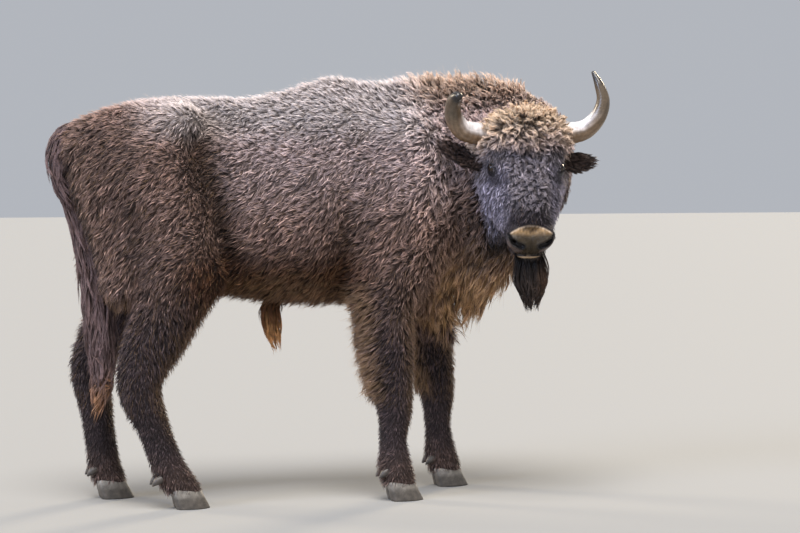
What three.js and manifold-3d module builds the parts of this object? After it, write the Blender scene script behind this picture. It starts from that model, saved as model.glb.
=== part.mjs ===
// A young wisent bull (European bison), life size, standing with its head turned to its right.
// Units are millimetres. +X runs forward along the trunk, +Y to the animal's left and +Z up.
// The floor is z = 0, and the origin is under the middle of the bounding box.
//
// The flesh is one smooth field, negative inside and reaching out to the tips of the coat. Each
// named part of the flesh is that field meshed in its own box and trimmed by flat cuts, so the
// parts meet without overlap. Horns, eyes, ears, hoofs and hanging hair are separate solids.
import * as THREE from "three";
import { mergeVertices } from "three/addons/utils/BufferGeometryUtils.js";
import Module from "manifold-3d";

const wasm = await Module();
wasm.setup();

// ---------------------------------------------------------------- driving dimensions
const GAP = 0.3; // free space between neighbouring solids
const WELD = 0.02; // vertices nearer than this become one
const LEG_OUT = 170; // each foot's distance from the median plane
const CLAW_LENGTH = 132;
const CLAW_WIDTH = 55;
const CLAW_REACH = 86; // from the middle of the coronet to the toe
const CORONET = 66; // height of the top of the hoofs

// Head frame: origin midway between the eyes, x towards the nose, y to the left, z out of the brow.
const HEAD_AT = [870, -420, 1237];
const HEAD_HEADING = THREE.MathUtils.degToRad(-99);
const HEAD_PITCH = THREE.MathUtils.degToRad(65);
const EYE_AT = [4, 118, 6];
const EYE_RADIUS = 25;

// Where each joint of each leg lies, and the leg's radius there with its coat.
const LEGS = {
  front_right: {
    elbow: { at: [392, -168, 800], r: 128 },
    forearm: { at: [408, -172, 585], r: 108 },
    knee: { at: [438, -170, 345], r: 71 },
    cannon: { at: [432, -170, 235], r: 56 },
    fetlock: { at: [440, -170, 132], r: 66 },
    coronet: { at: [462, -170, 60], r: 62 },
  },
  front_left: {
    elbow: { at: [600, 165, 800], r: 122 },
    forearm: { at: [662, 172, 585], r: 106 },
    knee: { at: [698, 170, 372], r: 72 },
    cannon: { at: [702, 170, 240], r: 55 },
    fetlock: { at: [714, 170, 132], r: 64 },
    coronet: { at: [738, 170, 60], r: 62 },
  },
  hind_right: {
    stifle: { at: [-352, -172, 850], r: 148 },
    gaskin: { at: [-452, -176, 655], r: 122 },
    hock: { at: [-524, -174, 468], r: 88 },
    cannon: { at: [-472, -172, 300], r: 65 },
    fetlock: { at: [-414, -170, 150], r: 65 },
    coronet: { at: [-350, -170, 60], r: 62 },
  },
  hind_left: {
    stifle: { at: [-430, 172, 880], r: 148 },
    gaskin: { at: [-552, 176, 700], r: 118 },
    hock: { at: [-648, 174, 512], r: 86 },
    cannon: { at: [-632, 172, 330], r: 66 },
    fetlock: { at: [-606, 170, 140], r: 64 },
    coronet: { at: [-578, 170, 60], r: 62 },
  },
};

// The trunk's section at stations along X: top and bottom, half width, how much the back narrows
// towards its crest, and how far the section's middle lies to the side.
const TRUNK = [
  { x: -775, top: 1392, bottom: 1270, half: 60, crest: 0.2, side: 0 },
  { x: -735, top: 1428, bottom: 1100, half: 140, crest: 0.25, side: 0 },
  { x: -660, top: 1466, bottom: 930, half: 205, crest: 0.3, side: 0 },
  { x: -540, top: 1503, bottom: 845, half: 245, crest: 0.35, side: 0 },
  { x: -400, top: 1522, bottom: 800, half: 262, crest: 0.4, side: 0 },
  { x: -250, top: 1527, bottom: 775, half: 262, crest: 0.45, side: 0 },
  { x: -90, top: 1526, bottom: 750, half: 275, crest: 0.5, side: 0 },
  { x: 50, top: 1552, bottom: 732, half: 290, crest: 0.55, side: 0 },
  { x: 170, top: 1590, bottom: 725, half: 296, crest: 0.6, side: 0 },
  { x: 250, top: 1607, bottom: 725, half: 298, crest: 0.62, side: 0 },
  { x: 350, top: 1592, bottom: 722, half: 296, crest: 0.62, side: 0 },
  { x: 500, top: 1602, bottom: 700, half: 285, crest: 0.62, side: 0 },
  { x: 650, top: 1645, bottom: 670, half: 262, crest: 0.6, side: -5 },
  { x: 790, top: 1668, bottom: 690, half: 235, crest: 0.55, side: -20 },
  { x: 900, top: 1655, bottom: 770, half: 205, crest: 0.5, side: -55 },
  { x: 1010, top: 1600, bottom: 930, half: 172, crest: 0.35, side: -98 },
  { x: 1085, top: 1532, bottom: 1040, half: 132, crest: 0.2, side: -122 },
  { x: 1130, top: 1446, bottom: 1160, half: 82, crest: 0.1, side: -134 },
];
const SECTION_POWER = 2.3;

// Muscle masses blended into the trunk: from, to, the two radii and the blend's width.
const MASSES = [
  { from: [540, -118, 1270], to: [400, -158, 850], r: [185, 142], blend: 90 },
  { from: [560, 118, 1270], to: [590, 155, 850], r: [185, 138], blend: 90 },
  { from: [-470, -118, 1210], to: [-380, -165, 900], r: [190, 160], blend: 90 },
  { from: [-490, 118, 1210], to: [-450, 165, 920], r: [190, 158], blend: 90 },
  { from: [-610, -105, 1180], to: [-575, -135, 830], r: [118, 95], blend: 80 },
  { from: [-620, 105, 1180], to: [-620, 140, 860], r: [118, 95], blend: 80 },
  { from: [-360, -165, 1405], to: [-395, -150, 1340], r: [92, 80], blend: 70 },
  { from: [-360, 165, 1405], to: [-395, 150, 1340], r: [92, 80], blend: 70 },
  { from: [620, -20, 790], to: [700, -30, 600], r: [116, 66], blend: 70 },
];

// The neck, curving from the withers to the back of the head, and the mane that hangs below it.
const NECK = [
  { at: [700, -40, 1180], r: 290 },
  { at: [850, -140, 1190], r: 235 },
  { at: [893, -250, 1195], r: 195 },
  { at: [888, -322, 1180], r: 138 },
];
const NECK_MANE = [
  { at: [820, -150, 1010], r: 152 },
  { at: [798, -90, 880], r: 126 },
  { at: [768, -50, 755], r: 98 },
];

// Forms of the head in its own frame. Each counts on both sides of the median plane.
const HEAD_FORMS = [
  { at: [-60, 0, -20], radii: [150, 148, 125], blend: 40 }, // braincase
  { at: [-125, 0, 55], radii: [112, 170, 112], blend: 40 }, // cap of curly wool
  { at: [-48, 62, 26], radii: [84, 84, 62], blend: 40 }, // brow
  { at: [105, 0, 30], radii: [150, 82, 58], blend: 45 }, // nose bridge
  { at: [70, 84, -72], radii: [130, 62, 92], blend: 45 }, // cheek
  { at: [-45, 75, -125], radii: [95, 78, 75], blend: 50 }, // jaw angle
  { at: [205, 0, -45], radii: [105, 98, 72], blend: 45 }, // snout
  { at: [275, 0, -22], radii: [42, 84, 50], blend: 25 }, // nose pad
  { at: [258, 0, -92], radii: [52, 60, 38], blend: 30 }, // chin
];

// Swept solids: each point along a path with the radius there.
const HORN_LEFT = [
  [-140, 96, -6, 41], [-148, 168, 0, 42], [-152, 228, 30, 37], [-185, 272, 80, 31],
  [-232, 286, 112, 25], [-285, 272, 130, 18], [-336, 252, 136, 7],
];
const HORN_RIGHT = [
  [-140, -96, -6, 41], [-148, -168, 0, 42], [-150, -230, 30, 38], [-178, -266, 78, 34],
  [-205, -273, 132, 29], [-210, -266, 172, 23], [-206, -258, 196, 14],
];
const EAR_RIGHT = [
  [-50, -118, -62, 22], [-60, -165, -58, 38], [-76, -215, -46, 52], [-98, -262, -30, 44],
  [-114, -304, -14, 14],
];
const EAR_LEFT = [
  [-50, 118, -58, 22], [-56, 160, -64, 38], [-66, 200, -74, 50], [-82, 236, -86, 44],
  [-98, 264, -100, 14],
];
const BEARD = [
  [867, -440, 990, 42], [868, -446, 950, 68], [869, -446, 890, 66], [869, -445, 820, 40],
  [869, -444, 752, 10],
];
const SHEATH = [
  [8, 0, 775, 20], [4, 0, 735, 44], [2, 0, 695, 38], [10, 0, 630, 24], [24, 0, 562, 6],
];
const TAIL = [
  [-700, 0, 1405, 34], [-765, -2, 1365, 44], [-793, -6, 1290, 45], [-776, -12, 1200, 44],
  [-732, -24, 1110, 44], [-700, -34, 980, 48], [-672, -42, 860, 60], [-655, -46, 740, 64],
  [-645, -50, 620, 60], [-640, -52, 500, 50], [-650, -54, 420, 36], [-664, -54, 352, 12],
];

const COLOURS = {
  coat: 0x6b4f41,
  face: 0x4f4038,
  beard: 0x2a2220,
  horn: 0x8d8576,
  hoof: 0x4a443c,
  eye: 0x15110f,
  tail: 0x54392c,
};

// ---------------------------------------------------------------- small vector helpers
const clamp = THREE.MathUtils.clamp;
const dot = (a, b) => a[0] * b[0] + a[1] * b[1] + a[2] * b[2];
const minus = (a, b) => [a[0] - b[0], a[1] - b[1], a[2] - b[2]];
const mix = (a, b, t) => a + (b - a) * t;

// Smooth minimum: the union of two fields, rounded over a width k.
function blended(a, b, k) {
  const h = Math.max(k - Math.abs(a - b), 0) / k;
  return Math.min(a, b) - h * h * k * 0.25;
}

// A cone with round ends. Below 1, `flat` makes it narrower from side to side.
function roundCone(p, a, b, ra, rb, flat = 1) {
  const ab = [b[0] - a[0], (b[1] - a[1]) / flat, b[2] - a[2]];
  const ap = [p[0] - a[0], (p[1] - a[1]) / flat, p[2] - a[2]];
  const t = clamp(dot(ap, ab) / dot(ab, ab), 0, 1);
  const off = [ap[0] - ab[0] * t, ap[1] - ab[1] * t, ap[2] - ab[2] * t];
  return Math.hypot(...off) - mix(ra, rb, t);
}

function ellipsoid(p, at, radii) {
  const q = minus(p, at);
  const k0 = Math.hypot(q[0] / radii[0], q[1] / radii[1], q[2] / radii[2]);
  const k1 = Math.hypot(q[0] / radii[0] ** 2, q[1] / radii[1] ** 2, q[2] / radii[2] ** 2);
  return k1 < 1e-9 ? -Math.min(...radii) : (k0 * (k0 - 1)) / k1;
}

// ---------------------------------------------------------------- the flesh as one field
// The trunk's section at x, from a smooth curve through the stations.
function sectionAt(x) {
  const last = TRUNK.length - 2;
  let i = TRUNK.findIndex((s) => s.x > x) - 1;
  i = i < 0 ? (x < TRUNK[0].x ? 0 : last) : i;
  const [s, e] = [TRUNK[i], TRUNK[i + 1]];
  const before = TRUNK[Math.max(i - 1, 0)];
  const after = TRUNK[Math.min(i + 2, TRUNK.length - 1)];
  const span = e.x - s.x;
  const t = clamp((x - s.x) / span, 0, 1);
  const section = {};
  for (const key of ["top", "bottom", "half", "crest", "side"]) {
    const m0 = ((e[key] - before[key]) / (e.x - before.x)) * span;
    const m1 = ((after[key] - s[key]) / (after.x - s.x)) * span;
    const [t2, t3] = [t * t, t * t * t];
    section[key] =
      (2 * t3 - 3 * t2 + 1) * s[key] + (t3 - 2 * t2 + t) * m0 +
      (3 * t2 - 2 * t3) * e[key] + (t3 - t2) * m1;
  }
  return section;
}

function trunk([x, y, z]) {
  const { top, bottom, half, crest, side } = sectionAt(x);
  const height = (top - bottom) / 2;
  const v = (z - (top + bottom) / 2) / height;
  const u = Math.abs(y - side) / (half * (1 - crest * clamp(v, 0, 1)));
  const r = (u ** SECTION_POWER + Math.abs(v) ** SECTION_POWER) ** (1 / SECTION_POWER);
  const around = (r - 1) * Math.min(half, height);
  const beyond = x - clamp(x, TRUNK[0].x, TRUNK[TRUNK.length - 1].x);
  return beyond === 0 ? around : Math.hypot(Math.max(around, 0), beyond);
}

function chain(p, joints, flat, blend, field) {
  for (let i = 1; i < joints.length; i++) {
    const [a, b] = [joints[i - 1], joints[i]];
    field = blended(field, roundCone(p, a.at, b.at, a.r, b.r, flat), blend);
  }
  return field;
}

const headFrame = new THREE.Matrix4().makeRotationFromEuler(
  new THREE.Euler(0, HEAD_PITCH, HEAD_HEADING, "ZYX"),
);
headFrame.setPosition(...HEAD_AT);
const intoHead = headFrame.clone().invert();
const moved = (p, matrix) => new THREE.Vector3(...p).applyMatrix4(matrix).toArray();

// The head in its own frame, without the neck.
function head(q) {
  const p = [q[0], Math.abs(q[1]), q[2]];
  let field = Infinity;
  for (const form of HEAD_FORMS) {
    const one = ellipsoid(p, form.at, form.radii);
    field = field === Infinity ? one : blended(field, one, form.blend);
  }
  const nostril = ellipsoid(p, [292, 44, -12], [22, 15, 17]);
  field = -blended(-field, nostril, 14);
  const socket = ellipsoid(p, [4, 158, 34], [40, 36, 36]);
  return -blended(-field, socket, 26);
}

function flesh(p) {
  let field = trunk(p);
  for (const { from, to, r, blend } of MASSES)
    field = blended(field, roundCone(p, from, to, r[0], r[1], 0.85), blend);
  for (const leg of Object.values(LEGS))
    if (p[2] < 1150) field = chain(p, Object.values(leg), 0.84, 45, field);
  if (p[0] > 300) {
    field = chain(p, NECK, 0.9, 80, field);
    field = chain(p, NECK_MANE, 0.8, 70, field);
    field = blended(field, head(moved(p, intoHead)), 55);
  }
  return field;
}

// ---------------------------------------------------------------- meshing a field
// Surface nets: one vertex in each grid cell that the surface crosses, drawn onto the surface.
function meshed(field, lo, hi, cell) {
  const size = [0, 1, 2].map((i) => Math.ceil((hi[i] - lo[i]) / cell[i]) + 1);
  const at = (i, j, k) => [lo[0] + i * cell[0], lo[1] + j * cell[1], lo[2] + k * cell[2]];
  const end = at(size[0] - 1, size[1] - 1, size[2] - 1);
  const inBox = (p) =>
    Math.max(...p.map((v, i) => Math.max(lo[i] + cell[i] - v, v - end[i] + cell[i])));
  const closed = (p) => Math.max(field(p), inBox(p));
  const index = (i, j, k) => (i * size[1] + j) * size[2] + k;
  const values = new Float64Array(size[0] * size[1] * size[2]);
  for (let i = 0; i < size[0]; i++)
    for (let j = 0; j < size[1]; j++)
      for (let k = 0; k < size[2]; k++) values[index(i, j, k)] = closed(at(i, j, k));

  const corners = [];
  for (let c = 0; c < 8; c++) corners.push([c & 1, (c >> 1) & 1, (c >> 2) & 1]);
  const positions = [];
  const vertexOf = new Map();
  for (let i = 0; i < size[0] - 1; i++)
    for (let j = 0; j < size[1] - 1; j++)
      for (let k = 0; k < size[2] - 1; k++) {
        const v = corners.map(([a, b, c]) => values[index(i + a, j + b, k + c)]);
        const inside = v.filter((x) => x < 0).length;
        if (inside === 0 || inside === 8) continue;
        vertexOf.set(index(i, j, k), positions.length / 3);
        positions.push(...drawnOnto(closed, crossing(v, corners), at(i, j, k), cell));
      }

  const triangles = [];
  for (const [key, here] of vertexOf) {
    const [i, j, k] = [
      Math.floor(key / (size[1] * size[2])),
      Math.floor(key / size[2]) % size[1],
      key % size[2],
    ];
    for (let axis = 0; axis < 3; axis++) {
      const [b, c] = [(axis + 1) % 3, (axis + 2) % 3];
      const step = [0, 0, 0];
      step[axis] = 1;
      const [from, to] = [values[key], values[index(i + step[0], j + step[1], k + step[2])]];
      if (from < 0 === to < 0) continue;
      const back = (...axes) => {
        const cellAt = [i, j, k];
        for (const a of axes) cellAt[a] -= 1;
        return vertexOf.get(index(...cellAt));
      };
      const ring = [here, back(b), back(b, c), back(c)];
      if (from >= 0) ring.reverse();
      triangles.push(...split(ring, positions));
    }
  }
  const geometry = new THREE.BufferGeometry();
  geometry.setAttribute("position", new THREE.Float32BufferAttribute(positions, 3));
  geometry.setIndex(triangles);
  return geometry;
}

// The mean place, in cell units, where the cell's edges cross the surface.
function crossing(v, corners) {
  const sum = [0, 0, 0];
  let count = 0;
  for (let a = 0; a < 8; a++)
    for (const bit of [1, 2, 4]) {
      const b = a | bit;
      if (b === a || v[a] < 0 === v[b] < 0) continue;
      const t = v[a] / (v[a] - v[b]);
      for (let i = 0; i < 3; i++) sum[i] += mix(corners[a][i], corners[b][i], t);
      count += 1;
    }
  return sum.map((s) => s / count);
}

function drawnOnto(field, unit, corner, cell) {
  const margin = 0.05;
  const p = unit.map((u, i) => corner[i] + u * cell[i]);
  for (let round = 0; round < 3; round++) {
    const h = 0.5;
    const value = field(p);
    const slope = p.map((_, i) => {
      const q = [...p];
      q[i] += h;
      return (field(q) - value) / h;
    });
    const steep = Math.max(dot(slope, slope), 0.05);
    for (let i = 0; i < 3; i++) {
      const low = corner[i] + margin * cell[i];
      p[i] = clamp(p[i] - (value * slope[i]) / steep, low, low + (1 - 2 * margin) * cell[i]);
    }
  }
  return p;
}

// Two triangles of a ring of four vertices, along its shorter diagonal.
function split([a, b, c, d], positions) {
  const away = (m, n) => {
    let sum = 0;
    for (let i = 0; i < 3; i++) sum += (positions[3 * m + i] - positions[3 * n + i]) ** 2;
    return sum;
  };
  return away(a, c) < away(b, d) ? [a, b, c, a, c, d] : [a, b, d, b, c, d];
}

// ---------------------------------------------------------------- joining and cutting
function solidOf(geometry) {
  const plain = geometry.clone();
  plain.deleteAttribute("normal");
  plain.deleteAttribute("uv");
  const merged = mergeVertices(plain, 1e-3);
  const vertProperties = new Float32Array(merged.attributes.position.array);
  const triVerts = new Uint32Array(merged.index.array);
  return new wasm.Manifold(new wasm.Mesh({ numProp: 3, vertProperties, triVerts }));
}

function geometryOf(solid) {
  const mesh = solid.getMesh();
  const positions = [];
  for (let i = 0; i < mesh.numVert; i++)
    for (let k = 0; k < 3; k++) positions.push(mesh.vertProperties[i * mesh.numProp + k]);
  let geometry = new THREE.BufferGeometry();
  geometry.setAttribute("position", new THREE.Float32BufferAttribute(positions, 3));
  geometry.setIndex(new THREE.BufferAttribute(new Uint32Array(mesh.triVerts), 1));
  geometry = mergeVertices(geometry, WELD);
  const kept = [];
  const index = geometry.index.array;
  for (let i = 0; i < index.length; i += 3) {
    const [a, b, c] = [index[i], index[i + 1], index[i + 2]];
    if (a !== b && b !== c && c !== a) kept.push(a, b, c);
  }
  geometry.setIndex(kept);
  return geometry;
}

// A flat cut through `at`. A part on the side that `facing` points to is in front of it.
const cut = (at, facing) => {
  const length = Math.hypot(...facing);
  return { at, facing: facing.map((v) => v / length) };
};
const inFront = (plane) => plane;
const behind = (plane) => ({ at: plane.at, facing: plane.facing.map((v) => -v) });
const trimmed = (solid, { at, facing }) =>
  solid.trimByPlane(facing, dot(at, facing) + GAP / 2);
const largest = (solid) =>
  solid.decompose().reduce((a, b) => (a.volume() > b.volume() ? a : b));

// Whether two sheets of a surface share an edge, which happens where a grid is too coarse.
function pinched(geometry) {
  const index = geometry.index.array;
  const seen = new Set();
  for (let i = 0; i < index.length; i++) {
    const next = i % 3 === 2 ? i - 2 : i + 1;
    seen.add(`${index[i]} ${index[next]}`);
  }
  return seen.size < index.length;
}

// A part of the flesh: the field meshed a little beyond the region lo to hi, then trimmed. The
// grid is shifted by a share of a cell until no edge is pinched.
function fleshPart({ lo, hi, cell, sides }, field = flesh) {
  const to = hi.map((v, i) => v + 2.1 * cell[i]);
  let surface;
  for (let shift = 0; shift < 1 && (!surface || pinched(surface)); shift += 0.13) {
    const from = lo.map((v, i) => v - (2.1 + shift) * cell[i]);
    surface = meshed(field, from, to, cell);
  }
  let solid = solidOf(surface);
  for (const side of sides) solid = trimmed(solid, side);
  return largest(solid);
}

// ---------------------------------------------------------------- cuts and grids
const CUTS = {
  neckBase: cut([665, 0, 1100], [1, -0.12, 0.1]),
  withers: cut([232, 0, 0], [1, 0, 0]),
  flank: cut([-250, 0, 0], [1, 0, 0]),
  breast: cut([0, 0, 702], [0, 0, 1]),
  haunch: cut([-420, 0, 930], [0.35, 0, 1]),
  median: cut([0, 0, 0], [0, 1, 0]),
};
const BRISKET_HALF = 74;
const innerLeft = cut([0, BRISKET_HALF, 0], [0, 1, 0]);
const innerRight = cut([0, -BRISKET_HALF, 0], [0, 1, 0]);
// Cuts in the head's frame.
const SNOUT = cut([150, 0, 0], [1, 0, 0.05]);
const MOUTH = cut([200, 0, -78], [0.16, 0, 1]);

const TRUNK_CELL = [96, 88, 90];
const TRUNK_PARTS = {
  neck: {
    lo: [590, -500, 560], hi: [1150, 230, 1700], cell: [96, 88, 94],
    sides: [inFront(CUTS.neckBase)],
  },
  forequarters: {
    lo: [232, -310, 702], hi: [760, 310, 1690], cell: TRUNK_CELL,
    sides: [inFront(CUTS.withers), behind(CUTS.neckBase), inFront(CUTS.breast)],
  },
  brisket: {
    lo: [232, -BRISKET_HALF, 500], hi: [760, BRISKET_HALF, 702], cell: [72, 50, 64],
    sides: [
      inFront(CUTS.withers), behind(CUTS.neckBase), behind(CUTS.breast),
      inFront(innerRight), behind(innerLeft),
    ],
  },
  barrel: {
    lo: [-250, -310, 660], hi: [232, 310, 1660], cell: TRUNK_CELL,
    sides: [inFront(CUTS.flank), behind(CUTS.withers)],
  },
  hindquarters: {
    lo: [-830, -310, 800], hi: [-250, 310, 1560], cell: TRUNK_CELL,
    sides: [behind(CUTS.flank), inFront(CUTS.haunch)],
  },
};

// Heights of the cuts across each leg.
const KNEE_CUT = { front_right: 352, front_left: 368, hind_right: 480, hind_left: 524 };
const FOOT_CUT = { front_right: 142, front_left: 142, hind_right: 158, hind_left: 150 };

// The leg's segments from the top down, each in a box of its own.
function legParts(name, joints) {
  const right = name.endsWith("right");
  const middle = right ? -LEG_OUT : LEG_OUT;
  const outward = right ? behind(CUTS.median) : inFront(CUTS.median);
  const knee = cut([0, 0, KNEE_CUT[name]], [0, 0, 1]);
  const ankle = cut([0, 0, FOOT_CUT[name]], [0, 0, 1]);
  const sole = cut([0, 0, CORONET], [0, 0, 1]);
  const x = Object.values(joints).map((joint) => joint.at[0]);
  const box = (bottom, top, reach, cell, sides) => ({
    lo: [Math.min(...x) - reach, middle - 130, bottom],
    hi: [Math.max(...x) + reach, middle + 130, top],
    cell, sides,
  });
  const parts = {};
  if (name.startsWith("front")) {
    const inner = right ? behind(innerRight) : inFront(innerLeft);
    parts.forearm = box(knee.at[2], CUTS.breast.at[2], 200, [58, 54, 84],
      [behind(CUTS.breast), inFront(knee), inner, behind(CUTS.neckBase), inFront(CUTS.withers)]);
  } else {
    const { at } = joints.gaskin;
    const gaskin = cut([at[0], 0, at[2] + 20], [0.3, 0, 1]);
    parts.thigh = box(at[2] - 60, 1140, 330, [82, 74, 82],
      [behind(CUTS.haunch), inFront(gaskin), outward, behind(CUTS.flank)]);
    parts.gaskin = box(knee.at[2], at[2] + 140, 200, [62, 56, 72],
      [behind(gaskin), inFront(knee), outward]);
  }
  parts.cannon = box(ankle.at[2], knee.at[2], 110, [50, 45, 74],
    [behind(knee), inFront(ankle), outward]);
  parts.foot = box(CORONET, ankle.at[2], 90, [47, 46, 52],
    [behind(ankle), inFront(sole), outward]);
  return parts;
}

// A block in the head's frame that holds the head and leaves out the neck.
function headBlock(grow) {
  const block = new THREE.BoxGeometry(900 + 2 * grow, 356 + 2 * grow, 500 + 2 * grow);
  block.translate(0, 0, 250);
  block.rotateY(0.435);
  block.translate(-60, 0, -105);
  return solidOf(block);
}

// ---------------------------------------------------------------- swept solids
// A closed tube through points of a path, each with its radius, flattened across `wide`.
// A grown tube is the socket for the plain one, with a gap all round.
function swept(path, { sides = 12, steps = 12, wide = [0, 1, 0], flat = 1 } = {}, grow = 0) {
  const curve = new THREE.CatmullRomCurve3(path.map((p) => new THREE.Vector3(...p)));
  const span = path.length - 1;
  const radiusAt = (t) => {
    const i = Math.min(Math.floor(t * span), span - 1);
    return mix(path[i][3], path[i + 1][3], t * span - i);
  };
  const profile = [new THREE.Vector2(0, 0)];
  for (let i = 0; i <= steps; i++)
    profile.push(new THREE.Vector2(radiusAt(i / steps) + grow / flat, i / steps));
  profile.push(new THREE.Vector2(0, 1));
  const geometry = new THREE.LatheGeometry(profile, sides);
  const position = geometry.attributes.position;
  for (let i = 0; i < position.count; i++) {
    const [x, t, z] = [position.getX(i), position.getY(i), position.getZ(i)];
    const along = curve.getTangent(t);
    const across = along.clone().cross(new THREE.Vector3(...wide)).normalize();
    const outward = along.clone().cross(across);
    const at = curve.getPoint(t).addScaledVector(along, t === 0 ? -grow : 0);
    at.addScaledVector(outward, x).addScaledVector(across, z * flat);
    position.setXYZ(i, at.x, at.y, at.z);
  }
  return solidOf(geometry);
}

// One claw of a hoof: its sole's outline, drawn in and back towards the coronet.
function claw(toeX, middle, side) {
  const outline = new THREE.Shape();
  const heel = -CLAW_LENGTH;
  outline.moveTo(0, 6);
  outline.quadraticCurveTo(-30, 1, heel + 8, 2);
  outline.quadraticCurveTo(heel - 4, CLAW_WIDTH * 0.5, heel + 14, CLAW_WIDTH - 6);
  outline.quadraticCurveTo(-50, CLAW_WIDTH + 8, -12, 26);
  outline.quadraticCurveTo(2, 14, 0, 6);
  const height = CORONET - GAP;
  const geometry = new THREE.ExtrudeGeometry(outline, {
    depth: height, steps: 1, curveSegments: 3, bevelEnabled: false,
  });
  const position = geometry.attributes.position;
  for (let i = 0; i < position.count; i++) {
    const rise = position.getZ(i) / height;
    const x = position.getX(i) * (1 - 0.14 * rise) - 34 * rise;
    const y = position.getY(i) * (1 - 0.1 * rise) + 1;
    position.setXYZ(i, toeX + x, middle + y * side, position.getZ(i));
  }
  return solidOf(side > 0 ? geometry : turnedOver(geometry));
}

// The same surface with every triangle turned over, for a mirrored shape.
function turnedOver(geometry) {
  const flipped = geometry.clone();
  const place = flipped.attributes.position.array;
  for (let i = 0; i < place.length; i += 9)
    for (let k = 0; k < 3; k++) [place[i + k], place[i + 3 + k]] = [place[i + 3 + k], place[i + k]];
  return flipped;
}

// ---------------------------------------------------------------- the model
const model = new THREE.Group();
const headGroup = new THREE.Group();
headGroup.position.set(...HEAD_AT);
headGroup.rotation.set(0, HEAD_PITCH, HEAD_HEADING, "ZYX");
model.add(headGroup);
const built = new Map();

function add(name, solid, colour, roughness = 0.9, group = model) {
  built.set(name, { solid, colour, roughness, group });
}

// Puts a solid into sockets cut out of the parts it grows from.
function socket(name, make, hosts, colour, roughness, group = model) {
  for (const host of hosts) {
    const part = built.get(host);
    const hole = part.group === group ? make(GAP) : make(GAP).transform(headFrame.toArray());
    part.solid = largest(part.solid.subtract(hole));
  }
  add(name, make(0), colour, roughness, group);
}

// Flesh.
for (const [name, part] of Object.entries(TRUNK_PARTS))
  add(name, fleshPart(part), COLOURS.coat);
for (const [leg, joints] of Object.entries(LEGS))
  for (const [name, part] of Object.entries(legParts(leg, joints)))
    add(`${name}_${leg}`, fleshPart(part), COLOURS.coat);

const headField = (q) => flesh(moved(q, headFrame));
const HEAD_PARTS = {
  head: { lo: [-250, -178, -200], hi: [160, 178, 180], cell: [52, 49, 52], sides: [behind(SNOUT)] },
  muzzle: {
    lo: [140, -130, -110], hi: [325, 130, 80], cell: [35, 34, 33],
    sides: [inFront(SNOUT), inFront(MOUTH)],
  },
  jaw: {
    lo: [140, -130, -190], hi: [325, 130, -60], cell: [44, 42, 40],
    sides: [inFront(SNOUT), behind(MOUTH)],
  },
};
for (const [name, part] of Object.entries(HEAD_PARTS)) {
  const solid = largest(fleshPart(part, headField).intersect(headBlock(-GAP / 2)));
  add(name, solid, COLOURS.face, 0.9, headGroup);
}
const neck = built.get("neck");
neck.solid = largest(neck.solid.subtract(headBlock(GAP / 2).transform(headFrame.toArray())));

// Horns, ears and eyes, in the head's frame.
for (const [side, horn, ear] of [["left", HORN_LEFT, EAR_LEFT], ["right", HORN_RIGHT, EAR_RIGHT]]) {
  const out = side === "left" ? 1 : -1;
  const hornShape = { sides: 9, steps: 8, wide: side === "left" ? [0, 0, 1] : [1, 0, 0] };
  const earShape = { sides: 8, steps: 6, wide: [1, 0, 0.2], flat: 0.42 };
  const eye = (grow) => {
    const ball = new THREE.SphereGeometry(EYE_RADIUS + grow, 10, 7);
    return solidOf(ball.translate(EYE_AT[0], EYE_AT[1] * out, EYE_AT[2]));
  };
  const hosts = ["head", "neck"];
  socket(`horn_${side}`, (g) => swept(horn, hornShape, g), hosts, COLOURS.horn, 0.5, headGroup);
  socket(`ear_${side}`, (g) => swept(ear, earShape, g), hosts, COLOURS.face, 0.9, headGroup);
  socket(`eye_${side}`, eye, ["head"], COLOURS.eye, 0.1, headGroup);
}

// Hanging hair.
const beardShape = { sides: 8, steps: 6, wide: [0.988, -0.157, 0], flat: 0.62 };
const beard = (g) => swept(BEARD, beardShape, g).transform(intoHead.toArray());
socket("beard", beard, ["jaw", "muzzle"], COLOURS.beard, 0.9, headGroup);
socket("sheath_tuft", (g) => swept(SHEATH, { sides: 8, steps: 6, wide: [1, 0, 0], flat: 0.8 }, g),
  ["barrel"], COLOURS.tail, 0.9);
const tail = (g) => swept(TAIL, { sides: 8, steps: 16, wide: [1, 0, 0], flat: 0.8 }, g);
socket("tail", tail, ["hindquarters", "thigh_hind_left", "thigh_hind_right",
  "gaskin_hind_left", "gaskin_hind_right"], COLOURS.tail, 0.9);
const tailCut = cut([-752, 0, 1080], [0, 0, 1]);
add("tail_dock", trimmed(built.get("tail").solid, inFront(tailCut)), COLOURS.coat);
add("tail_brush", trimmed(built.get("tail").solid, behind(tailCut)), COLOURS.tail);
built.delete("tail");

// Hoofs: two claws and two dewclaws on each foot.
for (const [leg, joints] of Object.entries(LEGS)) {
  const [coronetX, middle] = joints.coronet.at;
  const fetlockX = joints.fetlock.at[0];
  for (const [toe, side] of [["inner", -Math.sign(middle)], ["outer", Math.sign(middle)]]) {
    add(`claw_${toe}_${leg}`, claw(coronetX + CLAW_REACH, middle, side), COLOURS.hoof, 0.6);
    const y = middle + side * 27;
    const path = [
      [fetlockX - 30, y, 116, 15], [fetlockX - 50, y, 105, 15], [fetlockX - 66, y, 90, 8],
    ];
    socket(`dewclaw_${toe}_${leg}`, (g) => swept(path, { sides: 5, steps: 2 }, g),
      [`foot_${leg}`], COLOURS.hoof, 0.6);
  }
}

for (const [name, { solid, colour, roughness, group }] of built) {
  const material = new THREE.MeshStandardMaterial({ color: colour, roughness, metalness: 0 });
  const mesh = new THREE.Mesh(geometryOf(solid), material);
  mesh.name = name;
  group.add(mesh);
}

// The origin goes under the middle of the bounding box.
const bounds = new THREE.Box3().setFromObject(model, true);
const middle = bounds.getCenter(new THREE.Vector3());
for (const child of model.children) {
  child.position.x -= middle.x;
  child.position.y -= middle.y;
}

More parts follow.
